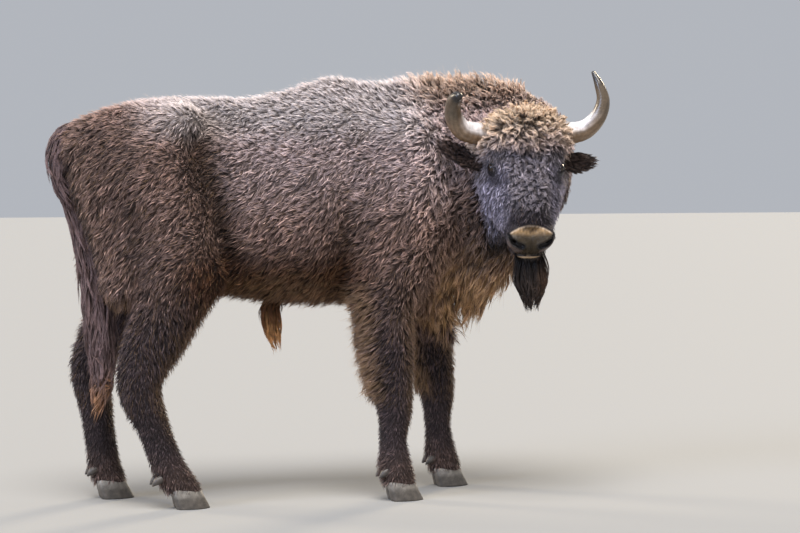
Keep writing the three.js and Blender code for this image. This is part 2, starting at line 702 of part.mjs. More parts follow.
export default model;
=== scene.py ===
import math

import bmesh
import bpy
import numpy as np
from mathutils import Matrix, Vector
from mathutils.kdtree import KDTree


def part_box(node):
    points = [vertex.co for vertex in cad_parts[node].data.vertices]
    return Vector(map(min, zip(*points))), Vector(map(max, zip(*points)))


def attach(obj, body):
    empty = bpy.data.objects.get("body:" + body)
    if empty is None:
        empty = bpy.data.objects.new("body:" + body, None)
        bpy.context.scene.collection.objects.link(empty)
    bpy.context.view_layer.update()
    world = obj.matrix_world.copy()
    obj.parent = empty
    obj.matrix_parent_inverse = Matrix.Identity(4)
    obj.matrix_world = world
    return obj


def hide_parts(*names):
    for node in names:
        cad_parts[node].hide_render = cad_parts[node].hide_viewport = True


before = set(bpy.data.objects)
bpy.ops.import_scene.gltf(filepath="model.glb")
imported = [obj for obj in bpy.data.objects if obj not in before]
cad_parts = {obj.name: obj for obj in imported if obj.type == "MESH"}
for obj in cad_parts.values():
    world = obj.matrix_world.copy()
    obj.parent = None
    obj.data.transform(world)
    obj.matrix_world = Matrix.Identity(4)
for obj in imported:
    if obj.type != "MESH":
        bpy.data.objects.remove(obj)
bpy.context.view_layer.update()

RNG = np.random.default_rng(20)

# ---- dimensions, mm
# The body's own frame: +X forward, +Y to the animal's left, z = 0 on the floor.
HEAD_AT = np.array([870.0, -420.0, 1237.0])
HEAD_HEADING = math.radians(-99)
HEAD_PITCH = math.radians(65)
EYE_NODE = np.array([4.0, 118.0, 6.0])
EYE_AT = np.array([-3.0, 119.0, 8.0])

LEGS = {
    "front_right": [
        ((392, -168, 800), 128), ((408, -172, 585), 108), ((438, -170, 345), 71),
        ((432, -170, 235), 56), ((440, -170, 132), 66), ((462, -170, 60), 62)],
    "front_left": [
        ((600, 165, 800), 122), ((662, 172, 585), 106), ((698, 170, 372), 72),
        ((702, 170, 240), 55), ((714, 170, 132), 64), ((738, 170, 60), 62)],
    "hind_right": [
        ((-352, -172, 850), 148), ((-452, -176, 655), 122), ((-524, -174, 468), 88),
        ((-472, -172, 300), 65), ((-414, -170, 150), 65), ((-350, -170, 60), 62)],
    "hind_left": [
        ((-430, 172, 880), 148), ((-552, 176, 700), 118), ((-648, 174, 512), 86),
        ((-632, 172, 330), 66), ((-606, 170, 140), 64), ((-578, 170, 60), 62)],
}

# Stations along the trunk: x, top, bottom, half width, crest, side.
TRUNK = np.array([
    (-775, 1392, 1270, 60, 0.2, 0), (-735, 1428, 1100, 140, 0.25, 0),
    (-660, 1466, 930, 205, 0.3, 0), (-540, 1503, 845, 245, 0.35, 0),
    (-400, 1522, 800, 262, 0.4, 0), (-250, 1527, 775, 262, 0.45, 0),
    (-90, 1526, 750, 275, 0.5, 0), (50, 1552, 732, 290, 0.55, 0),
    (170, 1590, 725, 296, 0.6, 0), (250, 1607, 725, 298, 0.62, 0),
    (350, 1592, 722, 296, 0.62, 0), (500, 1602, 700, 285, 0.62, 0),
    (650, 1645, 670, 262, 0.6, -5), (790, 1668, 690, 235, 0.55, -20),
    (900, 1655, 770, 205, 0.5, -55), (1010, 1600, 930, 172, 0.35, -98),
    (1085, 1532, 1040, 132, 0.2, -122), (1130, 1446, 1160, 82, 0.1, -134),
], float)
SECTION_POWER = 2.3

MASSES = [
    ((540, -118, 1270), (400, -158, 850), 185, 142, 90),
    ((560, 118, 1270), (590, 155, 850), 185, 138, 90),
    ((-470, -118, 1210), (-380, -165, 900), 190, 160, 90),
    ((-490, 118, 1210), (-450, 165, 920), 190, 158, 90),
    ((-610, -105, 1180), (-575, -135, 830), 118, 95, 80),
    ((-620, 105, 1180), (-620, 140, 860), 118, 95, 80),
    ((-365, -150, 1395), (-400, -140, 1330), 86, 76, 110),
    ((-365, 150, 1395), (-400, 140, 1330), 86, 76, 110),
    ((620, -20, 790), (700, -30, 600), 116, 66, 70),
]
NECK = [((700, -40, 1180), 290), ((850, -140, 1190), 235), ((893, -250, 1195), 195),
        ((888, -322, 1180), 138)]
NECK_MANE = [((820, -150, 1010), 152), ((798, -90, 880), 126), ((768, -50, 755), 98)]

HORNS = {
    "left": [
        (-140, 96, -6, 41), (-148, 168, 0, 42), (-152, 228, 30, 37), (-185, 272, 80, 31),
        (-232, 286, 112, 25), (-285, 272, 130, 18), (-336, 252, 136, 7)],
    "right": [
        (-140, -96, -6, 41), (-148, -168, 0, 42), (-150, -230, 30, 38), (-178, -266, 78, 34),
        (-205, -273, 132, 29), (-210, -266, 172, 23), (-206, -258, 196, 14)],
}
EARS = {
    "left": [(-50, 118, -58, 22), (-56, 160, -64, 38), (-66, 200, -74, 50),
             (-82, 236, -86, 44), (-98, 264, -100, 14)],
    "right": [(-50, -118, -62, 22), (-60, -165, -58, 38), (-76, -215, -46, 52),
              (-98, -262, -30, 44), (-114, -304, -14, 14)],
}
BEARD = [(867, -452, 990, 46), (868, -464, 950, 70), (872, -466, 890, 74),
         (877, -464, 820, 60), (879, -462, 742, 26)]
SHEATH = [(8, 0, 775, 34), (4, 0, 735, 50), (2, 0, 695, 46), (10, 0, 630, 32), (24, 0, 562, 14)]
TAIL = [
    (-700, 0, 1405, 34), (-765, -2, 1365, 44), (-793, -6, 1290, 45), (-776, -12, 1200, 44),
    (-732, -24, 1110, 44), (-700, -34, 980, 48), (-672, -42, 860, 60), (-655, -46, 740, 64),
    (-645, -50, 620, 60), (-640, -52, 500, 50), (-650, -54, 420, 36), (-664, -54, 352, 12)]
CLAW_LENGTH = 132
CLAW_WIDTH = 55
CLAW_REACH = 86
CORONET = 66

# The eye: its radius, how far the cornea stands proud, and the lids' radius where no hair grows.
EYE_R = 22.5
CORNEA = 0.085
HAIRLESS_LID = 28

# The head's frame: a towards the nose, s to the left, b out of the brow.
_h, _p = HEAD_HEADING, HEAD_PITCH
HEAD_TURN = (
    np.array([[math.cos(_h), -math.sin(_h), 0], [math.sin(_h), math.cos(_h), 0], [0, 0, 1]])
    @ np.array([[math.cos(_p), 0, math.sin(_p)], [0, 1, 0], [-math.sin(_p), 0, math.cos(_p)]])
)


def from_head(q):
    return HEAD_AT + np.asarray(q, float) @ HEAD_TURN.T


def to_head(p):
    return (np.asarray(p, float) - HEAD_AT) @ HEAD_TURN


def placed(p):
    """Body-frame millimetres to the model's metres."""
    return np.asarray(p, float) / 1000 + SHIFT


_lo, _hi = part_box("eye_left")
SHIFT = (np.array(_lo) + np.array(_hi)) / 2 - from_head(EYE_NODE) / 1000


# ---- small tools
# A full turn for random phases, and the turn that spans a chart of the coat.
FULL_TURN, CHART_TURN = 6.28, 6.284


def norm(v):
    return np.linalg.norm(v, axis=1)


def unit(v):
    return v / np.maximum(norm(v), 1e-9)[:, None]


def tangent(v, n):
    """Directions v laid flat on surfaces with normals n."""
    return unit(v - n * (v * n).sum(1, keepdims=True))


def mixed(a, b, t):
    t = np.asarray(t)[:, None]
    return a * (1 - t) + b * t


def layered(value, *layers):
    """A value under layers of (value, share), each laid over the ones before."""
    for over, share in layers:
        value = mixed(value, over, share)
    return value


def smooth(x, lo, hi, *more):
    """A smooth step from 0 at x = lo to 1 at hi, times the steps of any further such triples."""
    t = np.clip((x - lo) / (hi - lo), 0, 1)
    step = t * t * (3 - 2 * t)
    return step * smooth(*more) if more else step


def bell(x, width):
    return np.exp(-(x / width) ** 2)


def folded(p):
    """Places mirrored onto the left half."""
    return np.column_stack([p[:, 0], np.abs(p[:, 1]), p[:, 2]])


def level(q):
    """How far places on the head lie below and ahead of its middle, level with the floor."""
    c, s = 0.9063, 0.4226  # cosine and sine of the head's nod
    return c * q[:, 0] - s * q[:, 2], s * q[:, 0] + c * q[:, 2]


# ---- fields
def smin(a, b, k):
    h = np.maximum(k - np.abs(a - b), 0) / k
    return np.minimum(a, b) - h * h * k * 0.25


def smax(a, b, k):
    return -smin(-a, -b, k)


def round_cone(p, a, b, ra, rb, flat=1.0):
    s = np.array([1, 1 / flat, 1])
    a, b = np.array(a, float), np.array(b, float)
    ab = (b - a) * s
    ap = (p - a) * s
    t = np.clip(ap @ ab / (ab @ ab), 0, 1)
    return norm(ap - t[:, None] * ab) - (ra + (rb - ra) * t)


def ellipsoid(p, at, radii):
    q = p - np.array(at, float)
    r = np.array(radii, float)
    k0 = norm(q / r)
    k1 = norm(q / (r * r))
    return k0 * (k0 - 1) / np.maximum(k1, 1e-9)


def trunk(p):
    """Rounded sections through the stations of TRUNK, joined by smooth curves."""
    x, y, z = p.T
    n = len(TRUNK)
    i = np.clip(np.searchsorted(TRUNK[:, 0], x, side="right") - 1, 0, n - 2)
    s, e = TRUNK[i], TRUNK[i + 1]
    before, after = TRUNK[np.maximum(i - 1, 0)], TRUNK[np.minimum(i + 2, n - 1)]
    span = (e[:, 0] - s[:, 0])[:, None]
    t = np.clip((x[:, None] - s[:, :1]) / span, 0, 1)
    m0 = (e - before) / (e[:, :1] - before[:, :1]) * span
    m1 = (after - s) / (after[:, :1] - s[:, :1]) * span
    t2, t3 = t * t, t * t * t
    v = (2 * t3 - 3 * t2 + 1) * s + (t3 - 2 * t2 + t) * m0 + (3 * t2 - 2 * t3) * e + (t3 - t2) * m1
    top, bottom, half, crest, side = v[:, 1], v[:, 2], v[:, 3], v[:, 4], v[:, 5]
    height = (top - bottom) / 2
    w = (z - (top + bottom) / 2) / height
    rise = np.where(w < 0.25, np.clip(w + 0.25, 0, 1) ** 2, np.minimum(w, 1))
    u = np.abs(y - side) / (half * (1 - crest * rise))
    r = (u ** SECTION_POWER + np.abs(w) ** SECTION_POWER) ** (1 / SECTION_POWER)
    around = (r - 1) * np.minimum(half, height)
    beyond = x - np.clip(x, TRUNK[0, 0], TRUNK[-1, 0])
    return np.where(beyond == 0, around, np.hypot(np.maximum(around, 0), beyond))


def chain(p, joints, flat, k, field):
    """The field with a chain of round cones melted into it."""
    for (a, ra), (b, rb) in zip(joints, joints[1:]):
        field = smin(field, round_cone(p, a, b, ra, rb, flat), k)
    return field


def finer(joints, parts=4):
    """A limb's joints with smooth steps between them."""
    rows = np.array([(*at, r) for at, r in joints], float)
    rows = np.vstack([2 * rows[0] - rows[1], rows, 2 * rows[-1] - rows[-2]])
    out = []
    for i in range(1, len(rows) - 2):
        a, b, c, d = rows[i - 1:i + 3]
        for t in np.arange(parts) / parts:
            out.append(b + 0.5 * t * (c - a + t * (2 * a - 5 * b + 4 * c - d
                       + t * (3 * (b - c) + d - a))))
    out.append(rows[-2])
    return [(tuple(row[:3]), row[3]) for row in out]


LIMBS = {name: finer(joints) for name, joints in LEGS.items()}


def body_envelope(p):
    """The body out to the tips of its coat, without the head."""
    field = trunk(p)
    for a, b, ra, rb, k in MASSES:
        field = smin(field, round_cone(p, a, b, ra, rb, 0.85), k)
    for name, joints in LIMBS.items():
        low = (p[:, 2] < 1100) & ((p[:, 1] > -20) == name.endswith("left"))
        limb = np.full(low.sum(), 1e3)
        limb = chain(p[low], joints, 0.84, 10, limb)
        field[low] = smin(field[low], limb, 60)
    front = p[:, 0] > 300
    q = p[front]
    f = chain(q, NECK, 0.9, 80, field[front])
    field[front] = chain(q, NECK_MANE, 0.8, 70, f)
    return field


def coat_depth(p):
    """How far the skin of the body lies under the tips of its coat."""
    x, y, z = p.T
    d = np.full(len(p), 24.0)
    d += 18 * smooth(x, 300, 700, z, 1300, 1560)
    d += 10 * smooth(x, 480, 760)
    mane = smooth(x, 520, 640, z, 1060, 800, np.abs(y + 60), 190, 110)
    d += 38 * mane
    leg = smooth(z, 740, 340)
    return d * (1 - leg) + 11 * leg


HEAD_SKIN = [
    ((-60, 0, -20), (130, 126, 104), 30),
    ((-118, 0, 45), (80, 132, 80), 36),
    ((-40, 62, 26), (74, 74, 50), 34),
    ((-4, 100, -6), (44, 38, 38), 24),
    ((105, 0, 26), (144, 72, 48), 38),
    ((68, 80, -72), (116, 44, 76), 38),
    ((-42, 74, -122), (84, 62, 60), 44),
    ((60, 100, -36), (70, 22, 20), 24),
    ((205, 0, -45), (102, 90, 64), 36),
    ((262, 50, 2), (38, 36, 30), 22),
    ((275, 0, -24), (40, 82, 48), 20),
    ((277, 0, -68), (46, 64, 32), 10),
    ((150, 30, -112), (110, 34, 34), 30),
]


# The left nostril's slit, from its rim to the wall between the nostrils.
NOSTRIL = ((266, 82, 16), (295, 62, 12), (305, 36, 5))
# Unit vectors of the left eye: its gaze, its long axis and the axis across the lids.
GAZE = unit(np.array([[0.02, 0.78, 0.62]]))[0]
LONG = tangent(np.array([[0.86, -0.40, 0.36]]), GAZE)[0]
ACROSS = np.cross(GAZE, LONG)


def head_skin(q):
    p = folded(q)
    (at, radii, _), *others = HEAD_SKIN
    field = ellipsoid(p, at, radii)
    for at, radii, k in others:
        field = smin(field, ellipsoid(p, at, radii), k)
    # Orbit: a lid bulges over the eyeball and opens in an almond.
    e = p - EYE_AT
    field = smin(field, norm(e) - (EYE_R + 3.6), 9)
    along, across, out = e @ LONG, e @ ACROSS, e @ GAZE
    slit = (np.sqrt((along / 21.0) ** 2 + (across / 12.0) ** 2) - 1) * 12.0
    field = np.where(out > 4, smax(field, -slit, 2.5), field)
    # Crease above and below the lids.
    ring = np.abs(np.sqrt((along / 1.5) ** 2 + across ** 2) - 20.5)
    field = field + bell(ring, 3.2) * smooth(out, 2, 14) * 3.0
    # Nostrils: slanting wedges, each with a raised rim.
    rim, middle, wall = NOSTRIL
    hole = smin(round_cone(p, rim, middle, 5, 9), round_cone(p, middle, wall, 9, 9), 6)
    hole = smin(hole, round_cone(p, (276, 58, -2), (292, 40, -26), 10, 12), 8)
    field = smax(field - 3.4 * bell(hole - 6, 6.5), -hole, 5)
    # The groove under the nose and the mouth's line.
    down = level(p)[0]
    groove = bell(p[:, 1], 4.0) * smooth(down, 240, 262, down, 312, 300)
    line = bell(down - 308 + 0.0022 * p[:, 1] ** 2, 3.4) * smooth(p[:, 0], 190, 226)
    return field + 3.0 * groove + 8.5 * line


def relief(p):
    """Hollows of the body: before the haunch, behind the shoulder, below the hip, by the throat."""
    x, y, z = folded(p).T
    flank = 42 * bell(x - 48 + 0.258 * z, 64) * smooth(z, 830, 930, z, 1440, 1300)
    elbow = 24 * bell(x - 250 + 0.03 * (1300 - z), 58) * smooth(z, 1380, 1150)
    loin = 16 * bell(x + 130, 120) * bell(z - 1410, 70)
    throat = 24 * bell(x - 655, 50) * smooth(z, 1180, 1040, z, 760, 860)
    blade = 16 * bell(x - 640 + 0.25 * (z - 1300), 60) * smooth(z, 1540, 1400, z, 1080, 1200)
    ham = 14 * bell(x + 640 - 0.1 * (1200 - z), 40) * smooth(z, 900, 1000, z, 1330, 1200)
    return smooth(y, 90, 190) * (flank + elbow + loin + throat + blade + ham)


def skin(p):
    """The skin under the coat: negative inside."""
    field = body_envelope(p) + coat_depth(p) + relief(p)
    near = (p[:, 0] > 500) & (p[:, 1] < -120) & (p[:, 2] > 760)
    if near.any():
        q = p[near]
        field[near] = smin(field[near], head_skin(to_head(q)), 60)
    return field


# ---- meshing a field
def in_chunks(field, p, size=200000):
    return np.concatenate([field(p[i:i + size]) for i in range(0, len(p), size)])


def upsampled(values, axes_from, axes_to):
    """Linear interpolation of a lattice of values onto a finer lattice."""
    for axis in range(3):
        src, dst = axes_from[axis], axes_to[axis]
        i = np.clip(np.searchsorted(src, dst, side="right") - 1, 0, len(src) - 2)
        t = (dst - src[i]) / (src[i + 1] - src[i])
        shape = [1, 1, 1]
        shape[axis] = -1
        t = t.reshape(shape)
        values = np.take(values, i, axis) * (1 - t) + np.take(values, i + 1, axis) * t
    return values


def lattice(field, axes):
    """The field's values on a lattice, exact near the surface and interpolated away from it."""
    def thinned(step):
        return [np.unique(np.append(a[::step], a[-1])) for a in axes]

    coarse = thinned(4)
    grid = np.stack(np.meshgrid(*coarse, indexing="ij"), -1).reshape(-1, 3)
    values = in_chunks(field, grid).reshape([len(a) for a in coarse])
    for step, band in ((2, 46.0), (1, 20.0)):
        fine = thinned(step)
        values = upsampled(values, coarse, fine)
        where = np.nonzero(np.abs(values) < band)
        p = np.column_stack([fine[k][where[k]] for k in range(3)])
        values[where] = in_chunks(field, p)
        coarse = fine
    return values


def surface_nets(values, axes):
    """One vertex in each cell the surface crosses, and one quad across each crossed edge."""
    inside = values < 0
    n = np.array(values.shape)
    corners = [(i, j, k) for i in (0, 1) for j in (0, 1) for k in (0, 1)]

    def cells(array, corner):
        return array[tuple(slice(c, m - 1 + c) for c, m in zip(corner, n))]

    count = sum(cells(inside, c).astype(np.int8) for c in corners)
    active = np.nonzero((count > 0) & (count < 8))
    ids = -np.ones(n - 1, np.int64)
    ids[active] = np.arange(len(active[0]))
    v = {c: cells(values, c)[active] for c in corners}
    total, crossings = 0, 0
    for c in corners:
        for axis in (k for k in range(3) if not c[k]):
            a, b = v[c], v[c[:axis] + (1,) + c[axis + 1:]]
            hit = (a < 0) != (b < 0)
            point = np.tile(np.array(c, float), (len(a), 1))
            point[:, axis] = np.where(hit, a / np.where(hit, a - b, 1), 0)
            total = total + point * hit[:, None]
            crossings = crossings + hit
    within = (total / crossings[:, None]).T
    points = np.column_stack([a[i] + u * (a[i + 1] - a[i]) for a, i, u in zip(axes, active, within)])

    quads = []
    for axis in range(3):
        b, c = (axis + 1) % 3, (axis + 2) % 3
        first, second = (np.take(inside, np.arange(n[axis] - 1) + k, axis) for k in (0, 1))
        edge = np.array(np.nonzero(first != second))
        edge = edge[:, ((edge[[b, c]] > 0) & (edge[[b, c]] < n[[b, c]][:, None] - 1)).all(0)]
        steps = np.zeros((4, 3, 1), int)
        steps[(1, 2), b] = steps[(2, 3), c] = 1
        ring = np.column_stack([ids[tuple(edge - step)] for step in steps])
        quads.append(np.where(first[tuple(edge)][:, None], ring, ring[:, ::-1]))
    return points, np.concatenate(quads)


def drawn_onto(field, p, rounds=2, reach=6.0, h=1.5):
    """Places moved along the field's slope until they lie on its surface."""
    for _ in range(rounds):
        value = in_chunks(field, p)
        slope = np.column_stack([in_chunks(field, p + h * side) - value for side in np.eye(3)]) / h
        move = -(value / np.maximum((slope ** 2).sum(1), 0.1))[:, None] * slope
        p = p + move * np.minimum(1, reach / np.maximum(norm(move), 1e-9))[:, None]
    return p


def planes(lo, hi, fine_from, fine_to, coarse=10.5, fine=5.0):
    """Lattice planes from lo to hi: coarse, but fine between fine_from and fine_to."""
    return np.concatenate([np.arange(lo, fine_from, coarse), np.arange(fine_from, fine_to, fine),
                           np.arange(fine_to, hi + coarse, coarse)])


# ---- Blender helpers
def mesh_object(name, points, faces):
    """An object of these body-frame points and faces, all of one size."""
    points = placed(points)
    faces = np.asarray(faces, np.int32)
    count, width = faces.shape
    mesh = bpy.data.meshes.new(name)
    mesh.vertices.add(len(points))
    mesh.vertices.foreach_set("co", points.astype(np.float32).ravel())
    mesh.loops.add(count * width)
    mesh.loops.foreach_set("vertex_index", faces.ravel())
    mesh.polygons.add(count)
    mesh.polygons.foreach_set("loop_start", np.arange(0, count * width, width, dtype=np.int32))
    mesh.polygons.foreach_set("use_smooth", np.full(count, True))
    mesh.update(calc_edges=True)
    return linked(name, mesh)


def linked(name, data):
    """A new object in the scene."""
    obj = bpy.data.objects.new(name, data)
    bpy.context.collection.objects.link(obj)
    return obj


def mesh_points(obj):
    """An object's vertices in body-frame millimetres."""
    p = np.empty(len(obj.data.vertices) * 3, np.float32)
    obj.data.vertices.foreach_get("co", p)
    return (p.reshape(-1, 3).astype(float) - SHIFT) * 1000


def attribute(obj, name, colours):
    layer = obj.data.color_attributes.new(name, "FLOAT_COLOR", "POINT")
    rgba = np.ones((len(colours), 4), np.float32)
    rgba[:, :colours.shape[1]] = colours
    layer.data.foreach_set("color", rgba.ravel())


def triangles_of(obj):
    obj.data.calc_loop_triangles()
    tris = np.empty(len(obj.data.loop_triangles) * 3, np.int32)
    obj.data.loop_triangles.foreach_get("vertices", tris)
    return tris.reshape(-1, 3)


def dress(obj, made, slot, *nodes):
    """Gives a piece its material; it rides on the root and stands for these nodes, which are hidden. The
    slot is not used.
    """
    obj.data.materials.append(made)
    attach(obj, "root")
    if nodes:
        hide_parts(*nodes)


# ---- the skin
def near_fine_features(p):
    """Where the head's small forms need a finer mesh: eyes, nostrils and mouth."""
    q = folded(to_head(p))
    nose = (q[:, 0] > 232) & (q[:, 2] > -125) & (q[:, 1] < 110)
    return (norm(q - EYE_AT) < 44) | nose


def built_skin():
    axes = [planes(-815, 1160, 715, 1075), planes(-655, 330, -655, -295), planes(52, 1690, 950, 1420)]
    points, quads = surface_nets(lattice(skin, axes), axes)
    obj = mesh_object("skin", drawn_onto(skin, points), quads)
    fine = near_fine_features(mesh_points(obj))
    bm = bmesh.new()
    bm.from_mesh(obj.data)
    edges = [e for e in bm.edges if fine[e.verts[0].index] and fine[e.verts[1].index]]
    bmesh.ops.subdivide_edges(bm, edges=edges, cuts=1, use_grid_fill=True)
    bm.to_mesh(obj.data)
    bm.free()
    points = mesh_points(obj)
    fine = near_fine_features(points)
    points[fine] = drawn_onto(skin, points[fine], rounds=3, reach=3)
    obj.data.vertices.foreach_set("co", placed(points).astype(np.float32).ravel())
    obj.data.polygons.foreach_set("use_smooth", np.full(len(obj.data.polygons), True))
    obj.data.update()
    return obj


# ---- markings, with painted light and shade
def waves(p, size, seed, count=6):
    """Smooth noise of about this wavelength, roughly from -1 to 1."""
    rng = np.random.default_rng(seed)
    way = rng.normal(size=(count, 3))
    way *= 2 * math.pi / size / np.linalg.norm(way, axis=1, keepdims=True)
    way *= rng.uniform(0.7, 1.5, (count, 1))
    return np.sin(p @ way.T + rng.uniform(0, FULL_TURN, count)).sum(1) / math.sqrt(count)


def head_share(p):
    """1 on the head, 0 on the body, with a soft border behind the jaw and crown."""
    q = to_head(p)
    side = np.interp(q[:, 0], [-120, 0, 60, 140, 230, 300], [194, 170, 150, 126, 110, 104])
    back = smooth(q[:, 0] * 0.42 + q[:, 2] * 0.9, -205, -160)
    return back * smooth(np.abs(q[:, 1]), side + 10, side - 10, q[:, 0], -262, -240)


def crown_share(q):
    """1 on the curly cap between the horns, 0 on the face below it."""
    low = -44 - 0.22 * np.abs(q[:, 1])
    return smooth(q[:, 0], low + 24, low - 22, q[:, 2], -120, -70)


def bridge_share(q):
    """1 on the curly strip down the middle of the face."""
    width = 78 - 0.12 * np.clip(q[:, 0], 0, 220)
    return (smooth(np.abs(q[:, 1]), width + 14, width - 22, q[:, 0], 225, 140)
            * smooth(q[:, 2], -20, 16))


def pad_share(q):
    """1 on the bare nose pad and lips."""
    s = np.abs(q[:, 1])
    down, ahead = level(q)
    under = np.maximum(down - 262, 0)
    top, wide = 199 + 0.0046 * s ** 2, 86 - 0.55 * under
    return smooth(down, top - 4, top + 3, down, 327, 322, s, wide + 3, wide - 4, ahead + 0.6 * under, 76, 92)


BROWN = np.array([0.280, 0.178, 0.142])
PALE_SKYLIT_BACK = (0.580, 0.450, 0.430)
SUNLIT_BACK = (0.920, 0.800, 0.760)
HUMP = (0.500, 0.345, 0.235)
DARK_LEG = (0.060, 0.042, 0.046)
BELLY = np.array([0.088, 0.036, 0.015])
# Gold of hair tips, made brighter as painted backlight glow.
GOLD_AND_BACKLIT = np.array([0.440, 0.262, 0.120])
CROWN_WOOL = (0.800, 0.600, 0.430)
CROWN_LOW = (0.500, 0.380, 0.340)
FACE_GREY = np.array([0.200, 0.172, 0.188])
SKYLIT_CHEEK = (0.350, 0.320, 0.410)
FACE_DARK = np.array([0.035, 0.026, 0.030])
BEARD_BLACK = np.array([0.020, 0.013, 0.010])
TAIL_BROWN = (0.130, 0.086, 0.084)
TAIL_TIP = (0.330, 0.165, 0.075)
# The ears: dark hair, darker still with painted shade.
DARK_SHADED_EAR = np.array([0.032, 0.020, 0.016])


def coat_colour(p):
    """The coat's middle colour over a place on the skin, with its painted light and shade."""
    x, y, z = p.T
    tail = curve_through(TAIL, np.linspace(0.1, 0.8, 24))[0]
    from_tail = np.min([norm(p - at) for at in tail], axis=0)
    # Paler upper barrel and back: partly the coat's own paler tone, partly painted skylight from above.
    pale = np.maximum(0.75 * smooth(z, 980, 1330, x, -330, -60), 0.9 * smooth(z, 1420, 1510, x, -640, -300))
    fold_shade, armpit_shade = bell(x - 48 + 0.258 * z, 64), bell(x - 235, 70)
    body = layered(
        BROWN,
        (PALE_SKYLIT_BACK, pale),
        # Rump darker below the hip: the coat's own darker brown, with painted shade under the hip.
        (BROWN * 0.80, smooth(x, -200, -330, z, 1440, 1380)),
        (SUNLIT_BACK, 0.85 * smooth(z, 1300, 1450, x, -600, -280, x, 680, 480)),
        # Painted shade in the crease before the haunch and in the hollow behind the elbow.
        (BROWN * 0.27, 0.92 * fold_shade * smooth(z, 1440, 1300, z, 820, 900)),
        (BROWN * 0.32, 0.85 * armpit_shade * smooth(z, 1180, 980, z, 700, 760)),
        (BELLY, smooth(z, 1010, 850, x, -480, -300, x, 420, 250)),
        (DARK_LEG, 0.92 * smooth(z, 900, 600)),
        (BROWN * 0.80, 0.6 * smooth(z, 230, 90)),
        (BROWN * 0.62, 0.8 * smooth(x, 330, 480, z, 1120, 860, z, 560, 700)),
        # Throat and neck darker below and behind the head: the mane's own dark brown, with painted shadow of
        # the head.
        (BROWN * 0.62, smooth(x, 560, 680, z, 1000, 840, z, 690, 730)),
        (BROWN * 0.42, smooth(x, 600, 720, z, 900, 980, z, 1300, 1160)),
        (HUMP, 0.8 * smooth(x, 480, 640, z, 1420, 1540)),
        # Painted shade in the gap between the tail and the buttocks.
        (BROWN * 0.22, 0.85 * smooth(from_tail, 130, 70, z, 1330, 1230)))
    q = to_head(p)
    a, s, b = folded(q).T
    around_eye = norm((folded(q) - (22, 116, 2)) / (66, 46, 60))
    face = layered(
        FACE_GREY,
        (FACE_GREY * 1.1, 0.6 * bridge_share(q)),
        # Cheeks paler and bluer: painted skylight from the left.
        (SKYLIT_CHEEK, 0.75 * smooth(s, 50, 96, a, -30, 40, a, 260, 180)),
        # Dark around the eye: dark fur, with painted shade in the eye socket.
        (FACE_DARK, 0.55 * smooth(around_eye, 0.8, 0.4)),
        (FACE_DARK * 1.3, 0.85 * smooth(a, 130, 210, s, 100, 60)),
        (FACE_DARK * 1.3, 0.75 * smooth(a, 200, 240)),
        (BEARD_BLACK, smooth(b, -60, -100, a, 120, 190)),
        (mixed(CROWN_WOOL, CROWN_LOW, smooth(a, -150, -60)), crown_share(q)))
    return mixed(body, face, head_share(p)) * (1 + 0.16 * waves(p, 240, 3) + 0.15 * waves(p, 60, 4))[:, None]


def golden_backlit(p, n):
    """How gold the tips are: gold hair, brightened as painted backlight glow, on the mane below the throat,
    on fringes behind and before the legs and under the chest, chosen by which way the skin faces.
    """
    x, y, z = p.T
    mane = smooth(x, 540, 680, z, 1020, 820, z, 640, 700)
    behind = 0.45 * smooth(-n[:, 0], 0.1, 0.7, x, 150, 200, z, 340, 430, z, 860, 760)
    before = 0.25 * smooth(n[:, 0], 0.2, 0.8, z, 200, 300, z, 860, 700)
    under = 0.2 * smooth(-n[:, 2], 0.3, 0.8, z, 920, 840, z, 700, 740)
    return np.maximum.reduce([mane, behind, before, under]) * (1 - head_share(p))


# ---- how the coat lies
def lie(p, n):
    """The direction in which the coat is combed at places p."""
    x, y, z = p.T
    q = to_head(p)
    s, one, from_girth = np.abs(q[:, 1]), np.ones(len(p)), np.abs(x - 60)
    side = np.sign(q[:, 1]) * smooth(s, 0, 60)
    bridge = np.column_stack([one, 0.45 * side, 0 * one])
    crown = np.column_stack([0.75 * one, 0.75 * side * s / 100, 0 * one])
    face = layered((0.75, 0, -0.75), (bridge, smooth(q[:, 2], -30, 30)), (crown, crown_share(q)))
    return tangent(layered(
        (-1.0, 0, -0.62),
        ((-1.0, 0, 0.0), smooth(z, 1380, 1520, x, 700, 400)),
        ((-0.45, 0, -1.0), smooth(x, -450, -640)),
        ((-0.45, 0.1, -1.0), smooth(x, 430, 640, z, 1500, 1300)),
        ((-0.12, 0, -1.0), smooth(z, 980, 700, from_girth, 260, 420)),
        ((-0.8, 0, -0.35), smooth(z, 900, 800, from_girth, 420, 260)),
        (face @ HEAD_TURN.T, head_share(p))), n)


